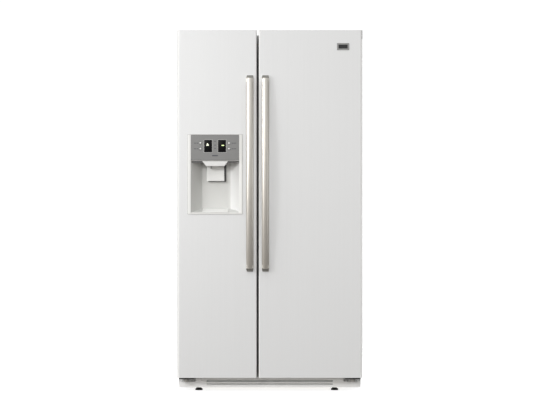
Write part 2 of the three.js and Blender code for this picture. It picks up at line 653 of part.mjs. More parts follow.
// The liners with everything that stands or hangs in them. Each rib is [top, how far back it runs].
function compartments() {
  const drawerRibs = DRAWER_ROWS.map(({ z, back }) => [z[1] - RIM - FIT, back]);
  const shelfRibs = (list) => list.map(({ z }) => [z, COMPARTMENT_BACK - 10]);
  liner('freezer_liner', FREEZER_X, [...drawerRibs, ...shelfRibs(FREEZER_SHELVES)]);
  liner('fridge_liner', FRIDGE_X, [...drawerRibs, ...shelfRibs(FRIDGE_SHELVES)]);
  for (const { name, z } of FREEZER_SHELVES) shelf(name, FREEZER_X, z, FREEZER_SHELF_BACK);
  for (const { name, z } of FRIDGE_SHELVES) shelf(name, FRIDGE_X, z, FRIDGE_SHELF_BACK);
  for (const { row, z, back } of DRAWER_ROWS) {
    drawer(`freezer_drawer_${row}`, FREEZER_X, z, back);
    drawer(`crisper_${row}`, FRIDGE_X, z, back);
  }
  airDuct();
  iceBin(FREEZER_SHELVES[0].z);
  iceAuger(FREEZER_SHELVES[0].z);
}

// ---------------------------------------------------------------- doors

// Corner radii in roundedRect's order, for a door hinged on its own outer side.
function corners({ side }, { frontHinge, frontFree, backHinge, backFree }) {
  return side < 0
    ? [frontHinge, frontFree, backFree, backHinge]
    : [frontFree, frontHinge, backHinge, backFree];
}

function doorSkin(door, ...openings) {
  const round = (by) => corners(door, {
    frontHinge: CORNER.frontHinge - by, frontFree: CORNER.frontFree - by, backHinge: 0, backFree: 0,
  });
  const height = [DOOR_BOTTOM, DOOR_TOP];
  const outside = upright(roundedRect(door.x, [DOOR_FRONT, SKIN_BACK], round(0)), height, SKIN_ARC_STEPS);
  const inside = upright(
    roundedRect(grow(door.x, -STEEL), [DOOR_FRONT + STEEL, SKIN_BACK + PAST], round(STEEL)),
    grow(height, PAST),
    SKIN_ARC_STEPS,
  );
  part(`${door.name}_door_skin`, cut(outside, inside, hingeSweep(door, 2), ...openings), doorSteel);
}

function dykeRing(door, offset, depth) {
  const ring = (x, z) => roundedRect(x, z, 10);
  return cut(
    through(ring(grow(door.dyke, offset), grow(DYKE_Z, offset)), depth),
    through(ring(grow(door.dyke, -DYKE_WALL - offset), grow(DYKE_Z, -DYKE_WALL - offset)), grow(depth, PAST)),
  );
}

function doorFoam(door, ...openings) {
  const slab = upright(
    roundedRect(
      grow(door.x, -PLASTIC - 0.5),
      [DOOR_FRONT + STEEL + FIT, DOOR_BACK - PLASTIC - FIT],
      corners(door, CORE_CORNER),
    ),
    CORE_Z,
  );
  const ridge = dykeRing(door, -2, [DOOR_BACK - 5, DYKE_BACK - 2]);
  part(`${door.name}_door_foam`, cut(join(slab, ridge), ...openings), foam);
}

// The moulded back of the door. Its hollow ridge reaches into the compartment and carries the bins.
function doorLiner(door, ...openings) {
  const round = (by) => corners(door, {
    frontHinge: 0, frontFree: 0, backHinge: CORNER.backHinge - by, backFree: CORNER.backFree - by,
  });
  const pan = upright(roundedRect(door.x, [SKIN_BACK + FIT, DOOR_BACK], round(0)), CORE_Z);
  const inside = upright(
    roundedRect(grow(door.x, -PLASTIC), [SKIN_BACK - PAST, DOOR_BACK - PLASTIC], round(PLASTIC)),
    grow(CORE_Z, PAST),
  );
  const ridge = dykeRing(door, 0, [DOOR_BACK - 1, DYKE_BACK]);
  const hollow = dykeRing(door, -DYKE_SHEET, [DOOR_BACK - 6, DYKE_BACK - DYKE_SHEET]);
  part(`${door.name}_door_liner`, cut(join(cut(pan, inside), ridge), hollow, ...openings), linerPlastic);
}

// Room for the top hinge's arm, which swings from straight back to past the door's outer side.
function hingeSweep({ side }, clearance) {
  const reach = 64;
  const swing = THREE.MathUtils.degToRad(DOOR_SWING);
  const half = ARM_HALF + clearance;
  const last = [Math.sin(swing), Math.cos(swing)];
  const outline = [
    [-half, 0], [-half, reach], [reach, reach],
    [last[0] * reach + last[1] * half, last[1] * reach - last[0] * half],
    [last[1] * half, -last[0] * half],
  ].map(([out, back]) => [side * (PIN_X + out), PIN_Y + back]);
  const height = [DOOR_TOP - HINGE_RECESS, DOOR_TOP + 5];
  return join(
    upright(polygon(side < 0 ? outline.reverse() : outline), height),
    rod('z', [side * PIN_X, PIN_Y], height, half, 24),
  );
}

function doorCaps(door) {
  const round = (change) => corners(door, { ...CAP_CORNER, ...change });
  const seam = grow(door.x, -CAP_INSET);
  const front = roundedRect(seam, [DOOR_FRONT + CAP_INSET, SKIN_BACK], round({ backHinge: 0, backFree: 0 }));
  const rear = roundedRect(door.x, [SKIN_BACK + FIT, DOOR_BACK], round({ frontHinge: 0, frontFree: 0 }));
  const bridge = between(SKIN_BACK, 2);
  const cap = (z) => join(upright(front, z), block(seam, bridge, z), upright(rear, z));
  const top = [DOOR_TOP - CAP_INSET - TOP_CAP, DOOR_TOP - CAP_INSET];
  const bottom = [DOOR_BOTTOM + CAP_INSET, DOOR_BOTTOM + CAP_INSET + BOTTOM_CAP];
  const bush = rod('z', [door.side * PIN_X, PIN_Y], [0, DOOR_TOP + PAST], BUSH_R, 20);
  const pinRoom = block(between(door.side * PIN_X, 60), [DOOR_FRONT, DOOR_BACK], [0, DOOR_TOP + PAST]);
  const hollow = (z) => cut(block(grow(door.x, -30), grow([DOOR_FRONT, DOOR_BACK], -20), z), pinRoom);
  const topBody = cut(cap(top), hollow([top[0] - PAST, top[1] - CAP_WALL]), bush, hingeSweep(door, 1.5));
  const bottomBody = cut(cap(bottom), hollow([bottom[0] + CAP_WALL, bottom[1] + PAST]), bush);
  part(`${door.name}_door_cap_top`, topBody, whitePlastic);
  part(`${door.name}_door_cap_bottom`, bottomBody, whitePlastic);
}

function doorGasket(door) {
  const hingeEdge = door.side * (PIN_X + GASKET_PAST_PIN);
  const freeEdge = (door.side < 0 ? door.x[1] : door.x[0]) + door.side * GASKET_INSET;
  const x = [Math.min(hingeEdge, freeEdge), Math.max(hingeEdge, freeEdge)];
  const depth = [DOOR_BACK + FIT, CABINET_FRONT - FIT];
  const ring = cut(
    through(roundedRect(x, GASKET_Z, 6), depth),
    through(roundedRect(grow(x, -GASKET_WIDE), grow(GASKET_Z, -GASKET_WIDE), 3), grow(depth, PAST)),
  );
  part(`${door.name}_door_gasket`, ring, gasketRubber);
}

// A bowed bar on two chamfered end pieces.
function handle(door) {
  const freeEdge = door.side < 0 ? door.x[1] : door.x[0];
  const x = freeEdge + door.side * HANDLE_INSET;
  const bow = HANDLE_REACH - HANDLE_END_REACH;
  const ends = grow(HANDLE_Z, -BAR_THICK);
  const half = (ends[1] - ends[0]) / 2;
  const middle = (ends[0] + ends[1]) / 2;
  const endBack = DOOR_FRONT - HANDLE_END_REACH + BAR_THICK;
  const backAt = (z) => endBack - bow * (1 - ((z - middle) / half) ** 2);
  const stations = Array.from({ length: BAR_STEPS + 1 }, (_, i) => ends[0] + (2 * half * i) / BAR_STEPS);
  const path = new THREE.CatmullRomCurve3(stations.map((z) => new THREE.Vector3(x, backAt(z), z)));
  const section = new THREE.Shape();
  const side = 5;
  const crown = BAR_THICK + 3;
  section.moveTo(-HANDLE_HALF, 0);
  section.lineTo(HANDLE_HALF, 0);
  section.lineTo(HANDLE_HALF, side);
  section.bezierCurveTo(HANDLE_HALF - 3, crown, -HANDLE_HALF + 3, crown, -HANDLE_HALF, side);
  const bar = new THREE.ExtrudeGeometry(section, { steps: BAR_STEPS, extrudePath: path, curveSegments: 6 });
  const front = DOOR_FRONT - HANDLE_END_REACH;
  const seat = DOOR_FRONT - FIT;
  const foot = (end, direction) => taper(
    { x: between(x, HANDLE_HALF), y: [front, seat], z: end + direction * 2 * HANDLE_HALF },
    { x: between(x, HANDLE_HALF - 4), y: [front + HANDLE_CHAMFER, seat], z: end },
  );
  part(`${door.name}_handle`, join(bar, foot(HANDLE_Z[0], 1), foot(HANDLE_Z[1], -1)), handleSteel);
}

function bin(name, x, z) {
  const { front, back } = BIN_CORNER;
  const y = [DOOR_BACK + FIT, BIN_BACK];
  const outline = (by) => roundedRect(grow(x, -by), grow(y, -by), [front, front, back - by, back - by]);
  const hollow = upright(outline(PLASTIC), [z[0] + PLASTIC, z[1] + PAST]);
  part(name, cut(upright(outline(0), z), hollow), clearPlastic);
}

// ---------------------------------------------------------------- dispenser

// The recess grown by `offset` on every side, from `front` to its back: a flat left wall, a right wall
// that curves into the back, and a floor that rises to the back.
function recess(offset, front) {
  const [left, right] = grow(CAVITY.front, offset);
  const [backLeft, curveCentre] = [CAVITY.back[0] - offset, CAVITY.back[1]];
  const back = CAVITY_BACK + offset;
  const plan = new THREE.Shape();
  plan.moveTo(left, front);
  plan.lineTo(right, front);
  plan.absellipse(curveCentre, DOOR_FRONT, right - curveCentre, back - DOOR_FRONT, 0, Math.PI / 2);
  plan.lineTo(backLeft, back);
  plan.lineTo(left, DOOR_FRONT);
  const [low, high] = [CAVITY.floor[0] - offset, CAVITY.floor[1] - offset];
  const top = CAVITY.top + offset;
  const side = polygon([[front, low], [back, high], [back, top], [front, top]]);
  return common(upright(plan, [low, top]), across(side, grow([left, right], PAST)));
}

// The outer shape of the dispenser's box inside the door, grown by `by`.
function housingOuter(by) {
  const front = DOOR_FRONT - PAST;
  const panelBox = block(
    between(DISPENSER_X, PANEL_HALF + HOUSING_WALL + by),
    [front, PANEL_POCKET + HOUSING_WALL + by],
    [CAVITY.top - 2, PANEL_Z[1] + 1 + by],
  );
  return join(recess(HOUSING_WALL + by, front), panelBox);
}

function dispenserHousing() {
  const face = DOOR_FRONT - FRAME_PROUD;
  const flange = block(FRAME_X, [face, DOOR_FRONT - FIT], FRAME_Z);
  const panelSeat = block(
    between(DISPENSER_X, PANEL_HALF + FIT),
    [face - PAST, PANEL_POCKET],
    grow(PANEL_Z, FIT),
  );
  const ceilingHole = block(
    between(DISPENSER_X, CHUTE_HALF + 3),
    [DOOR_FRONT + 12, DOOR_FRONT + 58],
    [CAVITY.top - HOUSING_WALL, FRAME_Z[1] + 6],
  );
  const lugs = [-LUG_X, LUG_X].map((offset) => cut(
    block(between(DISPENSER_X + offset, 3), between(PIVOT.y, 6), [PIVOT.z - 6, CAVITY.top + 1]),
    rod('x', [PIVOT.y, PIVOT.z], between(DISPENSER_X + offset, 4), PADDLE_AXLE_R + 0.5, 16),
  ));
  const hollow = recess(0, face - PAST);
  const shell = cut(join(flange, housingOuter(0)), hollow, panelSeat, ceilingHole);
  part('dispenser_housing', join(shell, ...lugs), whitePlastic);
}

function controlPanel() {
  const front = DOOR_FRONT - 2.5;
  const plate = block(between(DISPENSER_X, PANEL_HALF), [front, DOOR_FRONT + 4], PANEL_Z);
  const windows = [-1, 1].map((side) =>
    block(between(DISPENSER_X + side * WINDOW.offset, WINDOW.half), [front - PAST, front + 1], WINDOW.z));
  const holes = BUTTONS.map(({ x, z }) =>
    rod('y', [x, z], [front - PAST, DOOR_FRONT + 5], BUTTON_R + 0.5, 16));
  part('control_panel', cut(plate, ...windows, ...holes), panelSilver);
}

// Round caps, each with a collar behind the panel that keeps it in.
function buttons() {
  for (const { name, x, z } of BUTTONS) {
    const cap = rod('y', [x, z], [DOOR_FRONT - 4, DOOR_FRONT + 5], BUTTON_R, 16);
    const collar = rod('y', [x, z], [DOOR_FRONT + 4.4, DOOR_FRONT + 6.4], BUTTON_R + 2, 16);
    part(`button_${name}`, join(cap, collar), buttonSilver);
  }
}

// The duct's side view, in Y and Z: under the spout, up the sloping floor to the mouth behind the door,
// and back down the sloping roof. `by` moves every face outwards; where a slanted face meets an upright
// one, that is half as far up or down.
function ductSide(by, top, bottom) {
  const { front, back, mouth, floorLow, floorHigh, roofLow, roofHigh } = DUCT;
  const slant = by / 2;
  return polygon([
    [front - by, bottom],
    [back + by, bottom],
    [back + by, floorLow - slant],
    [mouth[1] + by, floorHigh - slant],
    [mouth[1] + by, top],
    [mouth[0] - by, top],
    [mouth[0] - by, roofHigh + slant],
    [front - by, roofLow + slant],
  ]);
}

// The duct from the ice bin, open upwards under the bin's outlet, and the tapered spout that shows
// below the control panel.
function iceChute() {
  const duct = across(ductSide(0, DUCT.top, DUCT.bottom), between(DISPENSER_X, CHUTE_HALF));
  const bore = across(
    ductSide(-CHUTE_WALL, DUCT.top + PAST, SPOUT.z[0] - 7.5),
    between(DISPENSER_X, CHUTE_HALF - CHUTE_WALL),
  );
  const { half, y, z } = SPOUT;
  const spout = taper(
    { x: between(DISPENSER_X, half[1]), y: y[1], z: z[1] },
    { x: between(DISPENSER_X, half[0]), y: y[0], z: z[0] },
  );
  const throat = taper(
    { x: between(DISPENSER_X, half[1] - 4), y: grow(y[1], -3), z: z[1] - 3 },
    { x: between(DISPENSER_X, half[0] - 3.5), y: grow(y[0], -2.5), z: z[0] - 2.5 },
  );
  part('ice_chute', cut(join(cut(spout, throat), duct), bore), whitePlastic);
}

function chuteFlap() {
  const wide = between(DISPENSER_X, FLAP.half);
  const plate = block(wide, [FLAP_AXIS.y - FLAP.length, FLAP_AXIS.y], between(FLAP_AXIS.z, FLAP.thick / 2));
  const axle = rod('x', [FLAP_AXIS.y, FLAP_AXIS.z], wide, 2.2, 12);
  part('chute_flap', join(plate, axle), greyPlastic);
}

function dispenserPaddle() {
  const { half, y, z } = PADDLE;
  const pad = taper(
    { x: between(DISPENSER_X, half[1]), y: between(y[1], 3), z: z[1] },
    { x: between(DISPENSER_X, half[0]), y: between(y[0], 2.5), z: z[0] },
  );
  const neck = block(between(DISPENSER_X, 38), between(PIVOT.y - 1, 4), [z[1] - 6, PIVOT.z]);
  const axle = rod('x', [PIVOT.y, PIVOT.z], between(DISPENSER_X, LUG_X + 4), PADDLE_AXLE_R, 12);
  part('dispenser_paddle', join(pad, neck, axle), whitePlastic);
}

// The grille rests on the recess's sloping floor.
function dripGrille() {
  const { half, thick, slots, slotHalf, slotEnd } = DRIP_GRILLE;
  const from = DOOR_FRONT - FRAME_PROUD - PAST;
  const slope = (CAVITY.floor[1] - CAVITY.floor[0]) / (CAVITY_BACK - from);
  const floorAt = (y) => CAVITY.floor[0] + slope * (y - from) + FIT;
  const [front, back] = [DOOR_FRONT + 4, CAVITY_BACK - 5];
  const side = polygon([
    [front, floorAt(front)],
    [back, floorAt(back)],
    [back, floorAt(back) + thick],
    [front, floorAt(front) + thick],
  ]);
  const height = grow(CAVITY.floor, 10);
  const holes = slots.map((offset) =>
    block(between(DISPENSER_X, slotEnd), between(front + offset, slotHalf), height));
  part('drip_grille', cut(across(side, between(DISPENSER_X, half)), ...holes), whitePlastic);
}

// ---------------------------------------------------------------- assembly

function freezerDoor() {
  const door = DOORS[0];
  const ductRoom = across(
    ductSide(1, DUCT.top + PAST, DUCT.bottom - 10),
    between(DISPENSER_X, CHUTE_HALF + 0.5),
  );
  const frameHole = block(
    between(DISPENSER_X, PANEL_HALF + HOUSING_WALL + 1),
    between(DOOR_FRONT, STEEL + PAST),
    [CAVITY.floor[0] - HOUSING_WALL - 1, PANEL_Z[1] + 2],
  );
  doorSkin(door, frameHole);
  doorFoam(door, housingOuter(0.5), ductRoom);
  doorLiner(door, ductRoom);
  doorCaps(door);
  doorGasket(door);
  handle(door);
  bin('freezer_door_bin', BIN_X.freezer, DOOR_BIN_Z.freezer);
  dispenserHousing();
  controlPanel();
  buttons();
  iceChute();
  chuteFlap();
  dispenserPaddle();
  dripGrille();
}

function fridgeDoor() {
  const door = DOORS[1];
  doorSkin(door);
  doorFoam(door);
  doorLiner(door);
  doorCaps(door);
  doorGasket(door);
  handle(door);
  bin('fridge_door_bin_upper', BIN_X.fridge, DOOR_BIN_Z.upper);
  bin('fridge_door_bin_lower', BIN_X.fridge, DOOR_BIN_Z.lower);
}

outerShell();
foamCore();
centreRail();
backPanel();
baseFrame();
feetAndRollers();
baseGrille();
for (const { name, side } of [{ name: 'left', side: -1 }, { name: 'right', side: 1 }]) {
  topHinge(name, side);
  hingeCover(name, side);
  bottomHinge(name, side);
}
machineCover();
compressor();
waterValve();
compartments();
freezerDoor();
fridgeDoor();

export default refrigerator;
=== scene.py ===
"""The looks of a side by side refrigerator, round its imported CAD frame. Metres, +Z up, doors facing -Y."""

import json
import math

import bmesh
import bpy
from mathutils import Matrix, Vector


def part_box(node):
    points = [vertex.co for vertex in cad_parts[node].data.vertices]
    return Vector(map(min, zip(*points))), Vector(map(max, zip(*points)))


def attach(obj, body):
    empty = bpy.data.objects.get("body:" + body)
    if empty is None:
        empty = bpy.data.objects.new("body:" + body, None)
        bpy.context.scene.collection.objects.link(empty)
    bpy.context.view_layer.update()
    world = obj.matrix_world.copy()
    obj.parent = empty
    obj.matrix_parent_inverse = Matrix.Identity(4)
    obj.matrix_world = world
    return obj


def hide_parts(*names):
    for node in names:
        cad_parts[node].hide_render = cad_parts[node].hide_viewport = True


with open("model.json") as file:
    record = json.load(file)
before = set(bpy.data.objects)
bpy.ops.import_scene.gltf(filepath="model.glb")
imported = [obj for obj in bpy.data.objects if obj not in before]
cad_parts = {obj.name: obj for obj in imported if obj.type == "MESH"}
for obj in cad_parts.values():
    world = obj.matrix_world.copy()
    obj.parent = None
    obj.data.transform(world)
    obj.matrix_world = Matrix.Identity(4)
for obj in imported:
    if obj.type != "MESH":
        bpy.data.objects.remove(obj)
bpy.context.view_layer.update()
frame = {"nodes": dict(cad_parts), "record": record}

NODES = frame["nodes"]

# ------------------------------------------------------------------ places, taken from the frame

BOX = {name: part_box(name) for name in NODES}
DOOR_FRONT = BOX["fridge_door_skin"][0].y
SKIN_TOP = BOX["fridge_door_skin"][1].z
HINGE_PLATE_LOW = BOX["bottom_hinge_left"][0].z + 0.0322    # the underside of a low hinge's plate
LEG_FRONT = BOX["bottom_hinge_left"][1].y - 0.0045          # the front of the leg that carries it
SHARP_CHANGE = 0.0003                                       # how far one shade runs into the next there


# ------------------------------------------------------------------ materials

class Nodes:
    """A node tree with short ways to add and link its nodes."""

    def __init__(self, name):
        self.material = bpy.data.materials.new(name)
        self.material.use_nodes = True
        self.tree = self.material.node_tree
        self.shader = self.tree.nodes["Principled BSDF"]
        self.place = self.add("ShaderNodeTexCoord").outputs["Object"]

    def add(self, kind, **settings):
        node = self.tree.nodes.new(kind)
        for key, value in settings.items():
            setattr(node, key, value)
        return node

    def link(self, output, socket):
        self.tree.links.new(output, socket)

    def noise(self, scale, stretch=(1, 1, 1), detail=3.0, rough=0.5):
        mapping = self.add("ShaderNodeMapping")
        mapping.inputs["Scale"].default_value = stretch
        self.link(self.place, mapping.inputs["Vector"])
        noise = self.add("ShaderNodeTexNoise")
        noise.inputs["Scale"].default_value = scale
        noise.inputs["Detail"].default_value = detail
        noise.inputs["Roughness"].default_value = rough
        self.link(mapping.outputs["Vector"], noise.inputs["Vector"])
        return noise.outputs["Fac"]

    def spread(self, value, low, high, source=(0.3, 0.7)):
        """A noise value spread over low to high."""
        node = self.add("ShaderNodeMapRange")
        node.inputs["From Min"].default_value = source[0]
        node.inputs["From Max"].default_value = source[1]
        node.inputs["To Min"].default_value = low
        node.inputs["To Max"].default_value = high
        self.link(value, node.inputs["Value"])
        return node.outputs["Result"]

    def mix(self, factor, first, second):
        node = self.add("ShaderNodeMix", data_type="RGBA")
        for socket, value in (("Factor", factor), ("A", first), ("B", second)):
            target = next(s for s in node.inputs if s.name == socket and s.enabled)
            if isinstance(value, (tuple, list)):
                target.default_value = value
            else:
                self.link(value, target)
        return next(s for s in node.outputs if s.enabled)

    def bump(self, height, strength, distance, under=None):
        node = self.add("ShaderNodeBump")
        node.inputs["Strength"].default_value = strength
        node.inputs["Distance"].default_value = distance
        self.link(height, node.inputs["Height"])
        if under is not None:
            self.link(under, node.inputs["Normal"])
        return node.outputs["Normal"]


def rgba(colour, factor=1.0):
    return tuple(min(c * factor, 1.0) for c in colour) + (1.0,)


def surface(name, colour, roughness, metallic=0.0, *, shade=0.05, patch=6.0, grain=420.0,
            rough_spread=0.08, bump=0.12, depth=0.0003, worn=None, coat=0.0, alpha=1.0, ior=1.45):
    """A finish with slow changes of shade, a fine grain in its gloss and relief, and paler worn edges."""
    n = Nodes(name)
    slow = n.noise(patch, detail=4.0)
    fine = n.noise(grain, detail=5.0, rough=0.6)
    base = n.mix(n.spread(slow, 0, 1), rgba(colour, 1 - shade), rgba(colour, 1 + shade))
    base = n.mix(n.spread(fine, 0, 0.35), base, rgba(colour, 1 - 2 * shade))
    if worn is not None:
        edge = n.add("ShaderNodeNewGeometry").outputs["Pointiness"]
        base = n.mix(n.spread(edge, 0, 0.7, (0.52, 0.6)), base, rgba(worn))
    n.link(base, n.shader.inputs["Base Color"])
    n.link(n.spread(fine, roughness - rough_spread, roughness + rough_spread), n.shader.inputs["Roughness"])
    n.link(n.bump(fine, bump, depth), n.shader.inputs["Normal"])
    n.shader.inputs["Metallic"].default_value = metallic
    n.shader.inputs["Coat Weight"].default_value = coat
    n.shader.inputs["Alpha"].default_value = alpha
    n.shader.inputs["IOR"].default_value = ior
    n.material.diffuse_color = rgba(colour)
    return n.material


BRUSH_STRETCH = 0.012


def brushed(name, colour, roughness, metallic, along, *, streak=0.05, bump=0.25, edge=None):
    """Steel with a fine brushing along one axis, in two widths of streak.

    With edge, the rounded sides that turn away to the left and right go over to that lighter colour and look
    less like metal, a painted highlight; the faces turned fully sideways get a painted shade.
    """
    n = Nodes(name)
    stretch = [1.0, 1.0, 1.0]
    stretch["xyz".index(along)] = BRUSH_STRETCH
    hair = n.noise(1400, stretch, detail=3.0, rough=0.7)
    band = n.noise(90, stretch, detail=4.0, rough=0.6)
    cloud = n.noise(1.6, detail=2.0)
    base = n.mix(n.spread(hair, 0, 1), rgba(colour, 1 - streak), rgba(colour, 1 + streak))
    base = n.mix(n.spread(band, 0, 0.6), base, rgba(colour, 1 - 1.2 * streak))
    base = n.mix(n.spread(cloud, 0, 0.35), base, rgba(colour, 1 + streak))
    if edge is not None:
        sides = n.add("ShaderNodeMath", operation="ABSOLUTE")
        turned_away = n.add("ShaderNodeSeparateXYZ")
        n.link(n.add("ShaderNodeTexCoord").outputs["Normal"], turned_away.inputs[0])
        n.link(turned_away.outputs["X"], sides.inputs[0])
        # painted highlight: the rounded edges, found by which way they face, go over to the lighter edge
        # colour
        painted_edge_highlight = n.spread(sides.outputs[0], 0, 1, (0.03, 0.3))
        base = n.mix(painted_edge_highlight, base, rgba(edge))
        # painted shade: faces turned fully to the left or right are darkened
        base = n.mix(n.spread(sides.outputs[0], 0, 1, (0.8, 0.95)), base, rgba(colour, 0.84))
        n.link(n.spread(painted_edge_highlight, metallic, 0, (0, 1)), n.shader.inputs["Metallic"])
    n.link(base, n.shader.inputs["Base Color"])
    n.link(n.spread(hair, roughness - 0.07, roughness + 0.09), n.shader.inputs["Roughness"])
    coarse = n.bump(band, bump * 0.4, 0.0002)
    n.link(n.bump(hair, bump, 0.00005, coarse), n.shader.inputs["Normal"])
    n.shader.inputs["Metallic"].default_value = metallic
    n.material.diffuse_color = rgba(colour)
    return n.material


def low_hinge(name, plate, nut, leg, roughness, metallic):
    """A dark plate, with a zinc nut in front below it and a leg painted like the cabinet behind."""
    n = Nodes(name)
    parts = n.add("ShaderNodeSeparateXYZ")
    n.link(n.place, parts.inputs[0])
    fine = n.noise(700, detail=4.0)
    plate_shade, nut_shade, leg_shade = [
        n.mix(n.spread(fine, 0, 1), rgba(colour, 0.93), rgba(colour, 1.07)) for colour in (plate, nut, leg)]
    in_leg = n.spread(parts.outputs["Y"], 0, 1, (LEG_FRONT - SHARP_CHANGE, LEG_FRONT))
    in_plate = n.spread(parts.outputs["Z"], 0, 1, (HINGE_PLATE_LOW, HINGE_PLATE_LOW + SHARP_CHANGE))
    base = n.mix(in_plate, n.mix(in_leg, nut_shade, leg_shade), plate_shade)
    n.link(base, n.shader.inputs["Base Color"])
    n.link(n.spread(fine, roughness - 0.08, roughness + 0.08), n.shader.inputs["Roughness"])
    n.link(n.bump(fine, 0.2, 0.0002), n.shader.inputs["Normal"])
    n.shader.inputs["Metallic"].default_value = metallic
    n.material.diffuse_color = rgba(plate)
    return n.material


def glowing(name, colour, strength):
    n = Nodes(name)
    light = n.mix(n.spread(n.noise(500), 0, 1), rgba(colour, 0.85), rgba(colour))
    n.link(light, n.shader.inputs["Base Color"])
    n.link(light, n.shader.inputs["Emission Color"])
    n.shader.inputs["Emission Strength"].default_value = strength
    n.shader.inputs["Roughness"].default_value = 0.4
    return n.material


MATERIALS = {
    # door_steel's edge colour is a painted highlight on the doors' rounded edges
    "door_steel": brushed("door_steel", (0.785, 0.79, 0.793), 0.45, 0.2, "z", streak=0.025, bump=0.12,
                          edge=(0.84, 0.84, 0.83)),
    "cabinet_paint": surface("cabinet_paint", (0.6, 0.6, 0.59), 0.5, shade=0.015, grain=900, bump=0.35,
                             depth=0.0002),
    "white_plastic": surface("white_plastic", (0.83, 0.83, 0.81), 0.38, shade=0.02, grain=700, bump=0.05,
                             worn=(0.9, 0.9, 0.88)),
    # Painted light and shade on the one recess moulding: a darker copy of the white plastic is painted shade
    # on its back and left walls, a lighter copy is painted light on its curved right wall, and near black is
    # painted shadow on its ceiling and on the dark pieces under the panel and behind the paddle
    "recess_painted_shade": surface("recess_painted_shade", (0.68, 0.68, 0.66), 0.42, shade=0.015, grain=700, bump=0.04),
    "curve_painted_light": surface("curve_painted_light", (0.84, 0.84, 0.83), 0.4, shade=0.015, grain=700, bump=0.04),
    "painted_shadow_black": surface("painted_shadow_black", (0.13, 0.13, 0.13), 0.5, shade=0.05, grain=900, bump=0.15),
    "liner_plastic": surface("liner_plastic", (0.86, 0.87, 0.86), 0.3, shade=0.02, patch=3, grain=260,
                             bump=0.06),
    "grey_plastic": surface("grey_plastic", (0.24, 0.24, 0.235), 0.55, shade=0.06, grain=1100, bump=0.3,
                            worn=(0.36, 0.36, 0.35)),
    "black_plastic": surface("black_plastic", (0.02, 0.02, 0.02), 0.6, shade=0.15, grain=900, bump=0.3,
                             worn=(0.08, 0.08, 0.08)),
    "clear_plastic": surface("clear_plastic", (0.86, 0.93, 0.95), 0.12, shade=0.01, patch=3, grain=120,
                             rough_spread=0.04, bump=0.03, alpha=0.42, ior=1.49),
    "shelf_glass": surface("shelf_glass", (0.72, 0.86, 0.82), 0.06, shade=0.02, grain=40,
                           rough_spread=0.03, bump=0.0, alpha=0.38, ior=1.52),
    "panel_silver": brushed("panel_silver", (0.24, 0.24, 0.237), 0.42, 0.35, "x", streak=0.05, bump=0.1),
    "button_silver": surface("button_silver", (0.7, 0.7, 0.69), 0.28, 0.4, shade=0.03, grain=1500, bump=0.08),
    "handle_cap": brushed("handle_cap", (0.31, 0.3, 0.275), 0.4, 0.92, "x", streak=0.05, bump=0.12),
    "handle_steel": brushed("handle_steel", (0.61, 0.585, 0.54), 0.34, 0.92, "z", streak=0.04, bump=0.12),
    "dark_steel": surface("dark_steel", (0.035, 0.035, 0.035), 0.45, 0.3, shade=0.2, grain=600, bump=0.25,
                          worn=(0.2, 0.2, 0.2)),
    "hinge_steel": low_hinge("hinge_steel", (0.035, 0.035, 0.035), (0.36, 0.35, 0.33), (0.78, 0.78, 0.77),
                             0.45, 0.2),
    "rail_grey": surface("rail_grey", (0.66, 0.66, 0.65), 0.5, shade=0.04, grain=900, bump=0.2),
    "door_end_cap": surface("door_end_cap", (0.1, 0.1, 0.1), 0.5, shade=0.08, grain=1100, bump=0.25),
    "zinc_steel": surface("zinc_steel", (0.5, 0.51, 0.5), 0.42, 0.85, shade=0.12, patch=30, grain=300,
                          bump=0.12, worn=(0.66, 0.66, 0.65)),
    "black_paint": surface("black_paint", (0.012, 0.012, 0.013), 0.32, shade=0.2, grain=500, bump=0.15,
                           coat=0.3, worn=(0.07, 0.07, 0.07)),
    "foam": surface("foam", (0.72, 0.6, 0.34), 0.9, shade=0.12, patch=20, grain=240, bump=0.6, depth=0.001),
    # a lighter copy of the white plastic: painted light on the ice spout, the base grille and the grille
    # catch
    "painted_light_white": surface("painted_light_white", (0.93, 0.93, 0.92), 0.34, shade=0.015, grain=700, bump=0.04),
    # painted shade: the dark ring round each button
    "painted_shade_ring": surface("painted_shade_ring", (0.16, 0.16, 0.16), 0.5, 0.2, shade=0.08, grain=900, bump=0.1),
    "edge_seal": surface("edge_seal", (0.4, 0.4, 0.4), 0.6, shade=0.06, grain=900, bump=0.2),
    "gasket_rubber": surface("gasket_rubber", (0.5, 0.5, 0.49), 0.62, shade=0.08, grain=500, bump=0.2),
    "display_black": surface("display_black", (0.003, 0.003, 0.004), 0.3, shade=0.2, grain=30,
                             rough_spread=0.03, bump=0.0, ior=1.25),
    "mark_grey": surface("mark_grey", (0.085, 0.085, 0.1), 0.5, shade=0.1, grain=900),
    "badge_grey": surface("badge_grey", (0.03, 0.03, 0.032), 0.4, 0.3, shade=0.1, grain=1200, bump=0.1),
    "badge_rim": surface("badge_rim", (0.32, 0.32, 0.315), 0.4, 0.4, shade=0.05, grain=900, bump=0.05),
    "lamp_cover": surface("lamp_cover", (0.92, 0.92, 0.9), 0.25, shade=0.02, grain=200, alpha=0.8),
    "icon_white": glowing("icon_white", (0.9, 0.93, 0.72), 0.9),
    "icon_green": glowing("icon_green", (0.75, 0.9, 0.42), 0.85),
}


# ------------------------------------------------------------------ mesh tools

def piece(name, bm, material, body, sharp=32):
    """Turns a bmesh into an object that rides on a body."""
    bmesh.ops.remove_doubles(bm, verts=bm.verts, dist=1e-6)
    bmesh.ops.recalc_face_normals(bm, faces=bm.faces)
    mesh = bpy.data.meshes.new(name)
    bm.to_mesh(mesh)
    bm.free()
    mesh.materials.append(MATERIALS[material])
    mesh.shade_smooth()
    mesh.set_sharp_from_angle(angle=math.radians(sharp))
    made = bpy.data.objects.new(name, mesh)
    bpy.context.scene.collection.objects.link(made)
    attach(made, body)
    return made


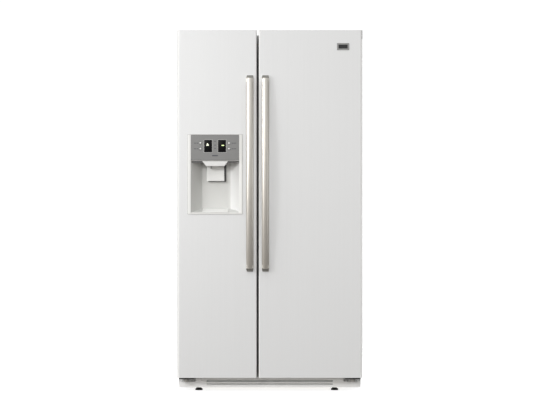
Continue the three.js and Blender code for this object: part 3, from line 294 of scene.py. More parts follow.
def soften(made, width, segments=3, angle=40):
    """Rounds the edges that are sharper than angle."""
    bevel = made.modifiers.new("edges", "BEVEL")
    bevel.width = width
    bevel.segments = segments
    bevel.limit_method = "ANGLE"
    bevel.angle_limit = math.radians(angle)
    bevel.use_clamp_overlap = True
    weighted = made.modifiers.new("normals", "WEIGHTED_NORMAL")
    weighted.keep_sharp = False
    made.data.shade_smooth()
    return made


def loft(bm, rings, caps=True, closed=True):
    """Joins rings of points, each with as many points as the next, into a skin."""
    rows = [[bm.verts.new(p) for p in ring] for ring in rings]
    count = len(rows[0])
    for first, second in zip(rows, rows[1:]):
        for i in range(count if closed else count - 1):
            j = (i + 1) % count
            bm.faces.new((first[i], first[j], second[j], second[i]))
    if caps:
        bm.faces.new(reversed(rows[0]))
        bm.faces.new(rows[-1])
    return rows


def rounded(u, v, radius, steps=6):
    """The outline of a rectangle with rounded corners, anticlockwise from its low corner.

    radius is one number, or four of them in that order.
    """
    radii = radius if isinstance(radius, (list, tuple)) else [radius] * 4
    corners = ((u[0], v[0], 1, 1, 180), (u[1], v[0], -1, 1, 270),
               (u[1], v[1], -1, -1, 0), (u[0], v[1], 1, -1, 90))
    points = []
    for (cu, cv, su, sv, start), r in zip(corners, radii):
        for k in range(steps + 1):
            a = math.radians(start + 90 * k / steps)
            points.append((cu + su * r + r * math.cos(a), cv + sv * r + r * math.sin(a)))
    return points


PLACE_IN = {
    "xz": lambda u, v, d: (u, d, v),
    "xy": lambda u, v, d: (u, v, d),
    "yz": lambda u, v, d: (d, u, v),
}


def plate(bm, outline, depth, plane):
    """A slab of an outline drawn in a plane: 'xz' runs in y, 'xy' in z, and 'yz' in x."""
    place = PLACE_IN[plane]
    loft(bm, [[place(u, v, d) for u, v in outline] for d in depth])


def block(bm, x, y, z):
    plate(bm, [(x[0], y[0]), (x[1], y[0]), (x[1], y[1]), (x[0], y[1])], z, "xy")


def ring(bm, outer, inner, depth, plane):
    """A frame between two outlines with equally many points."""
    place = PLACE_IN[plane]
    loops = [[place(u, v, depth[0]) for u, v in outer], [place(u, v, depth[1]) for u, v in outer],
             [place(u, v, depth[1]) for u, v in inner], [place(u, v, depth[0]) for u, v in inner]]
    rows = [[bm.verts.new(p) for p in loop] for loop in loops]
    count = len(rows[0])
    for k in range(4):
        first, second = rows[k], rows[(k + 1) % 4]
        for i in range(count):
            j = (i + 1) % count
            bm.faces.new((first[i], first[j], second[j], second[i]))


def turned(bm, centre, axis, profile, steps=32, closed=False):
    """A body of revolution.

    profile is a list of (radius, distance along the axis): from end to end, or a closed section.
    """
    along = Vector(axis).normalized()
    across = along.orthogonal().normalized()
    other = along.cross(across)
    rings = []
    for radius, distance in profile:
        middle = Vector(centre) + along * distance
        rings.append([middle + (across * math.cos(a) + other * math.sin(a)) * max(radius, 1e-5)
                      for a in (2 * math.pi * i / steps for i in range(steps))])
    if closed:
        rings.append(rings[0])
    loft(bm, rings, caps=not closed)


def between(centre, half):
    """The two ends of a span, from its middle and half its length."""
    return (centre - half, centre + half)


def carve(made, bm):
    """Cuts a bmesh body out of an object."""
    bmesh.ops.recalc_face_normals(bm, faces=bm.faces)
    mesh = bpy.data.meshes.new("cutter")
    bm.to_mesh(mesh)
    bm.free()
    cutter = bpy.data.objects.new("cutter", mesh)
    bpy.context.scene.collection.objects.link(cutter)
    modifier = made.modifiers.new("carve", "BOOLEAN")
    modifier.object = cutter
    modifier.operation = "DIFFERENCE"
    modifier.solver = "EXACT"
    bpy.context.view_layer.update()
    seen = made.evaluated_get(bpy.context.evaluated_depsgraph_get())
    made.data = bpy.data.meshes.new_from_object(seen)
    made.modifiers.clear()
    bpy.data.objects.remove(cutter)


# ------------------------------------------------------------------ CAD nodes that stay: edges and finish

SLOT_OF = {entry["node"]: entry["material_slot"] for entry in frame["record"]["subparts"]}
STANDARD_EDGE = 0.0008
OWN_EDGE = {
    "back_panel": 0.001,
    "machine_cover": 0.0007,
    "water_valve": 0.001,
    "compressor": 0.0015,
    "levelling_foot_left": 0.0006,
    "levelling_foot_right": 0.0006,
}
# the ice chute and base grille take the lighter white as painted light
FINISH = {"ice_chute": "painted_light_white", "base_grille": "painted_light_white", "centre_rail": "rail_grey"}
FINISH.update({f"bottom_hinge_{side}": "hinge_steel" for side in ("left", "right")})


def finish_node(name):
    """Rounds a CAD node's edges and gives it its material."""
    node = NODES[name]
    slot = SLOT_OF[name]
    node.data.materials.clear()
    node.data.materials.append(MATERIALS[FINISH.get(name, slot)])
    custom = node.data.attributes.get("custom_normal")
    if custom is not None:
        node.data.attributes.remove(custom)
    weld = node.modifiers.new("weld", "WELD")
    weld.merge_threshold = 1e-6
    flat = node.modifiers.new("flat", "DECIMATE")
    flat.decimate_type = "DISSOLVE"
    flat.angle_limit = math.radians(0.5)
    soften(node, OWN_EDGE.get(name, STANDARD_EDGE), segments=2, angle=35)


for node_name in NODES:
    finish_node(node_name)


# ------------------------------------------------------------------ handles

HANDLE_END_REACH = 0.028         # from the door to the front of an end piece
HANDLE_CHAMFER = 0.016           # the slope at the tip of an end piece
BAR_THICK = 0.014
BAR_INSET = 0.014                # from the tip of an end piece to the bar
BAR_EDGE = 0.003                 # the flat part of the bar's side
BAR_ROUNDNESS = 2.6              # 2 is an ellipse, more is squarer


def handle(side):
    """A bowed bar on two end pieces."""
    low, high = BOX[f"{side}_handle"]
    x, half_wide = (low.x + high.x) / 2, (high.x - low.x) / 2
    ends = (low.z + BAR_INSET, high.z - BAR_INSET)
    middle, half = (ends[0] + ends[1]) / 2, (ends[1] - ends[0]) / 2
    bow = (DOOR_FRONT - low.y) - HANDLE_END_REACH

    def section(z):
        face = DOOR_FRONT - HANDLE_END_REACH - bow * (1 - ((z - middle) / half) ** 2)
        rear = face + BAR_THICK
        points = []
        steps = 20
        for i in range(steps + 1):
            a = math.pi * i / steps
            u = -math.cos(a)
            rise = (1 - abs(u) ** BAR_ROUNDNESS) ** (1 / BAR_ROUNDNESS)
            points.append((x + half_wide * u, rear - BAR_EDGE - (rear - BAR_EDGE - face) * rise, z))
        points.append((x + half_wide - 0.001, rear, z))
        points.append((x - half_wide + 0.001, rear, z))
        return points

    bm = bmesh.new()
    steps = 72
    rings = [section(ends[0] + 2 * half * i / steps) for i in range(steps + 1)]
    loft(bm, rings)
    bar = piece(f"{side}_handle_bar", bm, "handle_steel", f"{side}_door", sharp=50)
    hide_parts(f"{side}_handle")
    made = [bar]
    for label, z, way in (("lower", low.z, 1), ("upper", high.z, -1)):
        bm = bmesh.new()
        face = DOOR_FRONT - HANDLE_END_REACH
        rings = []
        for rise, narrow, y in (
                (0.0, 0.0035, face + 0.017), (0.0006, 0.0028, face + 0.0155),
                (HANDLE_CHAMFER * 0.93, 0.0004, face + 0.0012), (HANDLE_CHAMFER, 0.0, face + 0.0002),
                (0.034, 0.0, face + 0.0004), (0.038, 0.0005, face + 0.006)):
            wide = half_wide - narrow
            outline = rounded(between(x, wide), (y, DOOR_FRONT - 0.0003), (0.003, 0.003, 0.0005, 0.0005), 4)
            rings.append([(px, py, z + way * rise) for px, py in outline])
        loft(bm, rings if way > 0 else rings[::-1])
        end = piece(f"{side}_handle_end_{label}", bm, "handle_steel", f"{side}_door", sharp=40)
        end.data.materials.append(MATERIALS["handle_cap"])
        for facet in end.data.polygons:
            facet.material_index = int(abs(facet.normal.z) > 0.3)
        made.append(end)
    return made


HANDLE_PIECES = handle("freezer") + handle("fridge")


# ------------------------------------------------------------------ dispenser

HOUSING = BOX["dispenser_housing"]
PANEL = BOX["control_panel"]
DISPENSER_X = (HOUSING[0].x + HOUSING[1].x) / 2
WALL = 0.0025
SEAT = 0.0003                    # clearance round the control panel
SEAL_WIDE = 0.003
BUTTON_HOLE = 0.0076             # half the width of the holes behind the buttons
RECESS = {
    "left": (PANEL[0].x - SEAT, DISPENSER_X - 0.066),   # at the front and at the back
    "right": (PANEL[1].x + SEAT, DISPENSER_X + 0.0585),
    "floor": (HOUSING[0].z + 0.009, HOUSING[0].z + 0.026),
    "ceiling": PANEL[0].z - 0.0035,
    "back": HOUSING[1].y - 0.003,
}
FLARE = {"reach": 0.0125, "from": RECESS["ceiling"] - 0.012, "to": RECESS["ceiling"] + 0.001}


def lerp(a, b, t):
    return a + (b - a) * t


def ease(t):
    t = min(max(t, 0), 1)
    return t * t * (3 - 2 * t)


def opening(y, left, right, low, high, radius=0.003, rows=22, steps=5):
    """A loop in the plane y, anticlockwise seen from the front. right may be a function of height."""
    edge = right if callable(right) else (lambda z: right)
    points = []

    def corner(x, z, start):
        for k in range(steps + 1):
            a = math.radians(start + 90 * k / steps)
            points.append((x + radius * math.cos(a), y, z + radius * math.sin(a)))

    first, last = low + radius, high - radius
    corner(left + radius, first, 180)
    corner(edge(first) - radius, first, 270)
    for k in range(1, rows):
        z = lerp(first, last, k / rows)
        points.append((edge(z), y, z))
    corner(edge(last) - radius, last, 0)
    corner(left + radius, last, 90)
    return points


def recess_loop(angle, grow=0.0):
    """The recess's outline at one depth: angle runs from 0 at the front to 90 at the back wall."""
    a = math.radians(angle)
    front = DOOR_FRONT
    y = front + (RECESS["back"] + grow - front) * math.sin(a)
    depth = math.sin(a)
    fillet = 0.005 * (1 - math.cos(math.radians(max(angle - 70, 0) * 4.5)))
    left = lerp(*RECESS["left"], depth) - grow + fillet
    curve = RECESS["right"][0] - RECESS["right"][1] + grow
    right = RECESS["right"][1] + curve * math.cos(a) - fillet * 0.2
    low = lerp(*RECESS["floor"], depth) - grow + fillet * 0.8
    return opening(y, left, right, low, RECESS["ceiling"] + grow - fillet * 0.4)


def flared(spread):
    """The frame's right inner edge: along the panel above, opening towards the frame's edge below it."""
    def edge(z):
        return RECESS["right"][0] + spread * (1 - ease((z - FLARE["from"]) / (FLARE["to"] - FLARE["from"])))
    return edge


def housing():
    """The moulding set in the door: its frame, the seat of the panel, and the recess below."""
    low, high = HOUSING
    seat_top = PANEL[1].z + 0.0004
    left, right = RECESS["left"][0], RECESS["right"][0]
    floor_z = RECESS["floor"][0]
    back = DOOR_FRONT - 0.0003
    pocket = PANEL[1].y + 0.0001
    angles = [90, 82, 74, 66, 56, 46, 36, 26, 16, 9]
    loops = [recess_loop(a, WALL) for a in angles]
    box_top = seat_top + 0.0012
    behind = pocket + WALL
    loops += [
        opening(behind, left - WALL, right + WALL, floor_z - WALL, RECESS["ceiling"] + WALL),
        opening(behind, left - WALL, right + WALL, floor_z - WALL, box_top),
        opening(back, left - WALL, right + WALL, floor_z - WALL, box_top),
    ]
    for y, inset, radius in (
            (back, 0.0016, 0.003), (back - 0.0004, 0.0013, 0.0034), (low.y + 0.0012, 0.0012, 0.0036),
            (low.y + 0.0004, 0.0015, 0.0034), (low.y, 0.0024, 0.003)):
        loops.append(opening(y, low.x + inset, high.x - inset, low.z + inset, high.z - inset, radius))
    for y, gap, spread in (
            (low.y, 0.0014, 1.0), (low.y + 0.0002, 0.0006, 0.85), (low.y + 0.0007, 0.0001, 0.55),
            (low.y + 0.0014, 0, 0.27), (low.y + 0.0022, 0, 0.08), (back - 0.0001, 0, 0.0)):
        edge = flared(gap + FLARE["reach"] * spread)
        loops.append(opening(y, left - gap, edge, floor_z - gap, seat_top + gap))
    loops += [
        opening(pocket - 0.0001, left, right, floor_z + 0.0004, seat_top),
        opening(pocket, left, right, floor_z + 0.0004, RECESS["ceiling"]),
    ]
    loops += [recess_loop(a) for a in (4, 8, 14, 20, 26, 32, 38, 44, 50, 56, 62, 68, 72, 76, 80, 84, 87, 90)]
    bm = bmesh.new()
    loft(bm, loops)
    shell = piece("dispenser_frame_and_recess", bm, "white_plastic", "freezer_door", sharp=38)
    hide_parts("dispenser_housing")
    bm = bmesh.new()
    ring(bm, rounded((low.x, high.x), (low.z, high.z), 0.0042, 6),
         rounded((low.x + SEAL_WIDE, high.x - SEAL_WIDE), (low.z + SEAL_WIDE, high.z - SEAL_WIDE), 0.002, 6),
         (DOOR_FRONT - 0.0005, DOOR_FRONT + 0.0001), "xz")
    piece("dispenser_seal", bm, "edge_seal", "freezer_door")
    # the recess's inner faces take painted shade, painted light or painted shadow by where they sit and which
    # way they face
    shaded_wall_slot, lit_curve_slot, shadow_ceiling_slot = 1, 2, 3
    for finish in ("recess_painted_shade", "curve_painted_light", "painted_shadow_black"):
        shell.data.materials.append(MATERIALS[finish])
    for face in shell.data.polygons:
        inside = face.center.y > PANEL[1].y
        if inside and face.normal.z < -0.5 and face.center.z > RECESS["ceiling"] - 0.004:
            face.material_index = shadow_ceiling_slot
        elif inside:
            face.material_index = lit_curve_slot if face.normal.x < -0.35 else shaded_wall_slot
    chute = BOX["ice_chute"]
    hole = bmesh.new()
    block(hole, between(DISPENSER_X, 0.04), (chute[0].y + 0.011, chute[0].y + 0.057),
          (RECESS["ceiling"] - 0.01, RECESS["ceiling"] + 0.01))
    for row in ("upper", "lower"):
        for side in ("left", "right"):
            button = BOX[f"button_{row}_{side}"]
            block(hole, between((button[0].x + button[1].x) / 2, BUTTON_HOLE),
                  (PANEL[1].y - 0.0005, PANEL[1].y + 0.006),
                  between((button[0].z + button[1].z) / 2, BUTTON_HOLE))
    carve(shell, hole)
    lugs()


PADDLE = BOX["dispenser_paddle"]
AXLE_R = 0.003
BORE_R = 0.0035
PADDLE_THICK = 0.0042
PADDLE_HOLLOW = 0.0022
PIVOT_Y, PIVOT_Z = PADDLE[1].y - AXLE_R, PADDLE[1].z - AXLE_R
LUG_OUT = (PADDLE[1].x - PADDLE[0].x) / 2 - 0.004


def lugs():
    """Two cheeks under the recess's ceiling, which carry the paddle's axle."""
    bm = bmesh.new()
    for side in (-1, 1):
        outline = rounded(between(PIVOT_Y, 0.0062), (PIVOT_Z - 0.0066, RECESS["ceiling"] + 0.001),
                          (0.0055, 0.0055, 0.0003, 0.0003), 5)
        bore = []
        for u, v in outline:
            a = math.atan2(v - PIVOT_Z, u - PIVOT_Y)
            bore.append((PIVOT_Y + BORE_R * math.cos(a), PIVOT_Z + BORE_R * math.sin(a)))
        ring(bm, outline, bore, between(DISPENSER_X + side * LUG_OUT, 0.003), "yz")
    piece("paddle_cheeks", bm, "white_plastic", "freezer_door")


def paddle():
    """A leaning plate, hollowed a little across its width, with a rolled lower lip."""
    bottom, top = PADDLE[0].z, PIVOT_Z - 0.012
    lean = (PIVOT_Y - 0.003, PIVOT_Y - 0.017)
    half = (0.041, 0.043)
    rings = []
    stations = 40
    for k in range(stations + 1):
        t = k / stations
        z = lerp(top, bottom, t)
        lip = max(0, 1 - (1 - t) * 9) ** 2 * 0.0022
        ripple = 0.00025 * math.sin(t * 31) * ease((t - 0.25) * 3)
        end = min(1, (t * 30 + 0.4), ((1 - t) * 30 + 0.25))
        wide = lerp(*half, t) - 0.0012 * (1 - end)
        thick = PADDLE_THICK * (0.4 + 0.6 * end)
        ring_points = []
        across = 18
        for i in range(across + 1):
            u = 2 * i / across - 1
            hollow = PADDLE_HOLLOW * (1 - u * u) * ease(t * 2)
            edge = 0.0009 * max(0, abs(u) - 0.9) * 10
            y = lerp(*lean, t) + hollow - PADDLE_THICK / 2 - lip + ripple + edge
            ring_points.append((DISPENSER_X + u * wide, y, z))
        for i in range(across + 1):
            u = 1 - 2 * i / across
            hollow = PADDLE_HOLLOW * (1 - u * u) * ease(t * 2)
            y = lerp(*lean, t) + hollow - PADDLE_THICK / 2 + thick - lip
            ring_points.append((DISPENSER_X + u * (wide - 0.0004), y, z))
        rings.append(ring_points)
    bm = bmesh.new()
    loft(bm, rings)
    made = piece("paddle_plate", bm, "white_plastic", "dispenser_paddle", sharp=50)
    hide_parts("dispenser_paddle")
    bm = bmesh.new()
    plate(bm, rounded(between(DISPENSER_X, 0.038), (top - 0.006, PIVOT_Z + 0.002), 0.0015, 3),
          between(PIVOT_Y - 0.001, 0.0036), "xz")
    soften(piece("paddle_neck", bm, "white_plastic", "dispenser_paddle"), 0.0006)
    bm = bmesh.new()
    reach = PADDLE[1].x - PADDLE[0].x
    turned(bm, (PADDLE[0].x, PIVOT_Y, PIVOT_Z), (1, 0, 0),
           [(0, 0), (0.0024, 0), (AXLE_R, 0.0006), (AXLE_R, reach - 0.0006), (0.0024, reach), (0, reach)], 24)
    piece("paddle_axle", bm, "zinc_steel", "dispenser_paddle")


def nozzle():
    """The water outlet, at the front of the ice spout."""
    x, y, z = DISPENSER_X - 0.02, BOX["ice_chute"][0].y + 0.025, BOX["ice_chute"][0].z - 0.012
    bm = bmesh.new()
    turned(bm, (x, y, z), (0, 0, 1), [
        (0.0021, 0.003), (0.0023, 0), (0.0034, 0), (0.0039, 0.0006), (0.0042, 0.012),
        (0.0056, 0.0135), (0.0056, 0.019), (0.0042, 0.02), (0.0042, 0.04),
    ], 28)
    piece("water_nozzle", bm, "grey_plastic", "freezer_door")


def painted_shade_pieces():
    """Dark plates that stand for shade: a painted shade band under the panel on both sides of the spout, and
    a painted shadow plate behind the paddle.
    """
    y = (PANEL[1].y + 0.0016, PANEL[1].y + 0.0031)
    depth = (y[0] - DOOR_FRONT) / (RECESS["back"] - DOOR_FRONT)
    top, low = RECESS["ceiling"] + 0.001, RECESS["ceiling"] - 0.0095
    left, right = lerp(*RECESS["left"], depth) - 0.0004, RECESS["right"][0] + 0.0004
    bm = bmesh.new()
    beside_spout, beside_spout_top = 0.0545, 0.0615
    plate(bm, [(left, low), (DISPENSER_X - beside_spout, low), (DISPENSER_X - beside_spout_top, top),
               (left, top)], y, "xz")
    plate(bm, [(DISPENSER_X + beside_spout, low), (right, low + 0.004), (right, top),
               (DISPENSER_X + beside_spout_top, top)], y, "xz")
    # painted shade: the dark band under the panel
    soften(piece("panel_painted_shade", bm, "painted_shadow_black", "freezer_door"), 0.0004)
    bm = bmesh.new()
    back = RECESS["back"]
    outline = rounded((DISPENSER_X - 0.036, DISPENSER_X + 0.0515),
                      (PADDLE[0].z - 0.0035, PIVOT_Z - 0.004), 0.003, 5)
    # painted shadow: the dark plate behind the paddle, where the paddle's shadow falls
    plate(bm, outline, (back - 0.0003, back + 0.001), "xz")
    soften(piece("paddle_painted_shadow", bm, "painted_shadow_black", "freezer_door"), 0.00015)


def panel_details():
    """The display windows with a sign in each, and the marks beside the buttons and between the windows."""
    face = PANEL[0].y
    mark_depth = (face - 0.00006, face + 0.0001)
    middle = (PANEL[0].z + PANEL[1].z) / 2
    window_low, window_high = PANEL[0].z + 0.037, PANEL[0].z + 0.098
    for label, side in (("left", -1), ("right", 1)):
        x = between(DISPENSER_X + side * 0.0335, 0.0196)
        bm = bmesh.new()
        outline = rounded(x, (window_low + 0.0004, window_high - 0.0004), 0.0024, 6)
        shrunk = rounded((x[0] + 0.0007, x[1] - 0.0007),
                         (window_low + 0.0011, window_high - 0.0011), 0.0018, 6)
        loft(bm, [[(u, d, v) for u, v in line] for line, d in
                  ((outline, face + 0.001), (outline, face + 0.0004), (shrunk, face + 0.0001))])
        piece(f"display_window_{label}", bm, "display_black", "freezer_door", sharp=30)
        bm = bmesh.new()
        bezel = rounded((x[0] - 0.0012, x[1] + 0.0012),
                        (window_low - 0.0008, window_high + 0.0008), 0.0032, 6)
        ring(bm, bezel, outline, (face - 0.0002, face + 0.0002), "xz")
        soften(piece(f"window_bezel_{label}", bm, "button_silver", "freezer_door"), 0.0001)
    glow = (face + 0.00002, face + 0.0001)
    bm = bmesh.new()
    ice_x, ice_z = DISPENSER_X - 0.0362, window_high - 0.0245
    for dx, dz, size in ((-0.0032, -0.0018, 0.0026), (0.0031, -0.0014, 0.0026), (0.0, 0.0042, 0.0026)):
        outline = rounded(between(ice_x + dx, size), between(ice_z + dz, size), 0.0008, 4)
        plate(bm, outline, glow, "xz")
    piece("ice_sign", bm, "icon_white", "freezer_door")
    bm = bmesh.new()
    drop_x, drop_z = DISPENSER_X + 0.0375, window_high - 0.0272
    oval = [(drop_x + 0.0068 * math.cos(a), drop_z + 0.0026 * math.sin(a)) for a in
            (2 * math.pi * k / 32 for k in range(32))]
    plate(bm, oval, glow, "xz")
    piece("water_sign", bm, "icon_green", "freezer_door")
    bm = bmesh.new()
    for side in (-1, 1):
        for row in ("upper", "lower"):
            z = sum(v.z for v in BOX[f"button_{row}_{'left' if side < 0 else 'right'}"]) / 2
            for start, end in ((0.0805, 0.0895), (0.0915, 0.1015)):
                x = sorted((DISPENSER_X + side * start, DISPENSER_X + side * end))
                for dz in (-0.0011, 0.0011):
                    plate(bm, rounded(x, between(z + dz, 0.0008), 0.0004, 2), mark_depth, "xz")
    for dz, wide in ((0.0305, 0.0052), (0.0275, 0.004), (0.013, 0.0034), (0.0095, 0.0046),
                     (-0.003, 0.0034), (-0.006, 0.0044)):
        outline = rounded(between(DISPENSER_X, wide), between(middle + dz, 0.0009), 0.0004, 2)
        plate(bm, outline, mark_depth, "xz")
    plate(bm, rounded(between(DISPENSER_X, 0.0145), between(middle - 0.0395, 0.003), 0.0029, 5),
          (face - 0.00008, face + 0.0001), "xz")
    piece("panel_marks", bm, "mark_grey", "freezer_door")


def buttons():
    """Round push buttons, each a cap on a collar, with a dark ring round it on the panel, a painted shade."""
    for row in ("upper", "lower"):
        for side in ("left", "right"):
            low, high = BOX[f"button_{row}_{side}"]
            x, z = (low.x + high.x) / 2, (low.z + high.z) / 2
            collar, cap, tall = (high.x - low.x) / 2, 0.0049, high.y - low.y
            bm = bmesh.new()
            turned(bm, (x, high.y, z), (0, -1, 0), [
                (0, 0), (collar - 0.0002, 0), (collar, 0.0002), (collar, 0.0018), (collar - 0.0002, 0.002),
                (cap, 0.002), (cap, tall - 0.0016), (cap - 0.0003, tall - 0.0009),
                (cap - 0.001, tall - 0.0004), (cap - 0.0024, tall - 0.0001), (0, tall),
            ], 36)
            made = piece(f"push_button_{row}_{side}", bm, "button_silver", f"button_{row}_{side}", sharp=40)
            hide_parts(f"button_{row}_{side}")
            # painted shade: a dark ring round the button on the panel
            bm = bmesh.new()
            turned(bm, (x, PANEL[0].y, z), (0, -1, 0), [
                (0.0058, -0.0004), (0.0058, 0.0001), (0.0062, 0.00015), (0.0069, 0.0003), (0.0073, 0.0003),
                (0.0076, 0.0001), (0.0076, -0.0004),
            ], 40, closed=True)
            piece(f"button_shade_ring_{row}_{side}", bm, "painted_shade_ring", "freezer_door", sharp=40)


housing()
paddle()
# the painted shade and shadow pieces in the recess
painted_shade_pieces()
nozzle()
panel_details()
buttons()


# ------------------------------------------------------------------ doors

def badge():
    """A plain plate near the fridge door's top corner: a grey border round a darker sunk field."""
    x, z = (0.324, 0.383), (1.656, 1.69)
    border = 0.0075
    field_x, field_z = (x[0] + border, x[1] - border), (z[0] + border, z[1] - border)
    bm = bmesh.new()
    ring(bm, rounded(x, z, 0.0022, 5), rounded(field_x, field_z, 0.001, 5),
         (DOOR_FRONT - 0.0018, DOOR_FRONT + 0.0002), "xz")
    soften(piece("badge_rim", bm, "badge_rim", "fridge_door"), 0.0003)
    bm = bmesh.new()
    plate(bm, rounded(field_x, field_z, 0.001, 5), (DOOR_FRONT - 0.0011, DOOR_FRONT + 0.0002), "xz")
    piece("badge_plate", bm, "badge_grey", "fridge_door")


def corner_cap():
    """The dark end cap that wraps the fridge door's top corner, over the hinge's pocket."""
    skin = BOX["fridge_door_skin"]
    radius = 0.012
    centre = (skin[1].x - radius, skin[0].y + radius)
    arc = [math.radians(a) for a in range(-44, 1, 4)]
    furthest = skin[1].x - 0.00001

    def wrap(rise):
        outer = [(min(centre[0] + (radius + rise) * math.cos(a), furthest),
                  centre[1] + (radius + rise) * math.sin(a)) for a in arc]
        inner = [(u - 0.0007, v + 0.0004) for u, v in reversed(outer)]
        return outer + inner

    bm = bmesh.new()
    loft(bm, [[(u, v, z) for u, v in wrap(rise)] for z, rise in (
        (SKIN_TOP - 0.043, -0.0002), (SKIN_TOP - 0.0425, 0.0001),
        (SKIN_TOP - 0.0008, 0.0001), (SKIN_TOP - 0.0002, -0.0002))])
    piece("fridge_door_corner_cap", bm, "door_end_cap", "fridge_door", sharp=40)


def gasket(side):
    """A door's magnetic seal: a soft bellows with its magnet tube against the cabinet."""
    low, high = BOX[f"{side}_door_gasket"]
    wide, deep = 0.018, high.y - low.y
    outer = [(0.0012, 0.0), (0.0004, 0.0012), (0.0002, 0.0028), (0.0026, 0.0038), (0.0028, 0.0046),
             (0.0006, 0.0058), (0.0, 0.0078), (0.0004, 0.0106), (0.0016, deep)]
    inner = [(wide - inset, y) for inset, y in reversed(outer)]
    loops = []
    for inset, y in outer + inner:
        radius = max(0.006 - inset, 0.003) if inset < wide / 2 else 0.003
        line = rounded((low.x + inset, high.x - inset), (low.z + inset, high.z - inset), radius, 6)
        loops.append([(u, low.y + y, v) for u, v in line])
    bm = bmesh.new()
    loft(bm, loops + loops[:1], caps=False)
    made = piece(f"{side}_door_seal", bm, "gasket_rubber", f"{side}_door", sharp=60)
    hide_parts(f"{side}_door_gasket")


badge()
corner_cap()
gasket("freezer")
gasket("fridge")


# ------------------------------------------------------------------ shelves

def shelf(node):
    """A glass pane with a white moulded rail in front and a lip behind."""
    low, high = BOX[node]
    trim, lip = 0.009, 0.006
    bm = bmesh.new()
    plate(bm, rounded((low.x, high.x), (low.y + trim - 0.002, high.y - lip + 0.002), 0.004, 4),
          (low.z, low.z + 0.0047), "xy")
    pane = soften(piece(f"{node}_glass", bm, "shelf_glass", "cabinet"), 0.0008)
    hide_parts(node)
    for label, y, height, radius in (
            ("front_rail", (low.y, low.y + trim), high.z - low.z, (0.003, 0.0015, 0.0015, 0.003)),
            ("rear_lip", (high.y - lip, high.y), 0.0137, (0.001, 0.001, 0.002, 0.002))):
        bm = bmesh.new()
        plate(bm, rounded(y, (low.z, low.z + height), radius, 5), (low.x, high.x), "yz")
        soften(piece(f"{node}_{label}", bm, "white_plastic", "cabinet"), 0.0006)


for node_name in NODES:
    if "_shelf_" in node_name or node_name == "crisper_cover":
        shelf(node_name)


# ------------------------------------------------------------------ screws and small fittings

def screws(name, places, axis, material, body, head=0.0045, tall=0.0022):
    """Pan head screws, each with a round socket. places are the points where the heads sit."""
    bm = bmesh.new()
    for place in places:
        turned(bm, place, axis, [
            (0, -0.0002), (head, -0.0002), (head, tall * 0.3), (head * 0.9, tall * 0.7), (head * 0.6, tall),
            (head * 0.42, tall), (head * 0.34, tall * 0.4), (0, tall * 0.4),
        ], 18)
    piece(name, bm, material, body)


def lamp_cover(side):
    """The ribbed cover of a compartment's ceiling lamp."""
    space = next(o for o in frame["record"]["physics"]["openings"] if o["name"] == f"{side}_top_space")
    (x0, y0, _), (x1, _, top) = space["box_m"]
    middle, y = (x0 + x1) / 2, y0 + 0.11
    bm = bmesh.new()
    rings = []
    for rise, inset in ((0.001, 0.0), (-0.009, 0.0006), (-0.0122, 0.0028), (-0.0136, 0.0072)):
        outline = rounded(between(middle, 0.062 - inset), between(y, 0.036 - inset), 0.009, 5)
        rings.append([(u, v, top + rise) for u, v in outline])
    loft(bm, rings)
    rib_spacing = 0.0115
    for k in range(-4, 5):
        plate(bm, rounded(between(y, 0.029), (top - 0.0148, top - 0.01), 0.0018, 3),
              between(middle + k * rib_spacing, 0.0014), "yz")
    piece(f"{side}_lamp_cover", bm, "lamp_cover", "cabinet")


def rear_screws():
    low, high = BOX["back_panel"]
    face = low.y + 0.0012
    heights = (0.36, 0.62, 0.9, 1.18, 1.46, 1.7)
    sides = [(side * (high.x - 0.011), face, z) for side in (-1, 1) for z in heights]
    top = [(x, face, high.z - 0.012) for x in (-0.3, -0.1, 0.1, 0.3)]
    screws("back_panel_screws", sides + top, (0, 1, 0), "zinc_steel", "cabinet")
    low, high = BOX["machine_cover"]
    face = low.y + 0.0017
    rows = (low.z + 0.012, high.z - 0.012)
    places = [(side * x, face, z) for side in (-1, 1) for x in (0.325, high.x - 0.012) for z in rows]
    places += [(0, face, z) for z in rows]
    screws("machine_cover_screws", places, (0, 1, 0), "zinc_steel", "cabinet")


def hinge_screws():
    for label in ("left", "right"):
        low, high = BOX[f"hinge_cover_{label}"]
        screws(f"hinge_cover_screw_{label}", [((low.x + high.x) / 2, high.y - 0.03, high.z)], (0, 0, 1),
               "zinc_steel", "cabinet", tall=0.0009)
        low, high = BOX[f"bottom_hinge_{label}"]
        middle = (low.x + high.x) / 2
        face = high.y - 0.004
        screws(f"bottom_hinge_screws_{label}", [(middle + dx, face, 0.047) for dx in (-0.022, 0.022)],
               (0, -1, 0), "zinc_steel", "cabinet", tall=0.003)


def grille_clip():
    """The small catch that holds the grille, under the gap between the doors."""
    face = BOX["base_grille"][0].y
    bm = bmesh.new()
    plate(bm, rounded((-0.0445, -0.0315), (0.0385, 0.0448), 0.0012, 4), (face + 0.0004, face + 0.012), "xz")
    soften(piece("grille_catch", bm, "painted_light_white", "cabinet"), 0.0008)


for side in ("freezer", "fridge"):
    lamp_cover(side)
rear_screws()
hinge_screws()
grille_clip()


# ------------------------------------------------------------------ camera, floor and light

CAMERA_PLACE = (-0.006, -7.335, 0.9095)
CAMERA_LENS_MM = 97.36
CAMERA_SENSOR_MM = 36.0


def camera():
    """A level view of the doors, from straight in front."""
    data = bpy.data.cameras.new("camera")
    data.sensor_width = CAMERA_SENSOR_MM
    data.lens = CAMERA_LENS_MM
    made = bpy.data.objects.new("camera", data)
    made.location = CAMERA_PLACE
    made.rotation_euler = (math.radians(90), 0, 0)
    bpy.context.scene.collection.objects.link(made)
    bpy.context.scene.camera = made


FLOOR_REACH = 2.4
FLOOR_FADE = (0.7, 2.2)          # where it starts to fade and where it is gone
FLOOR_GLOW = 0.84


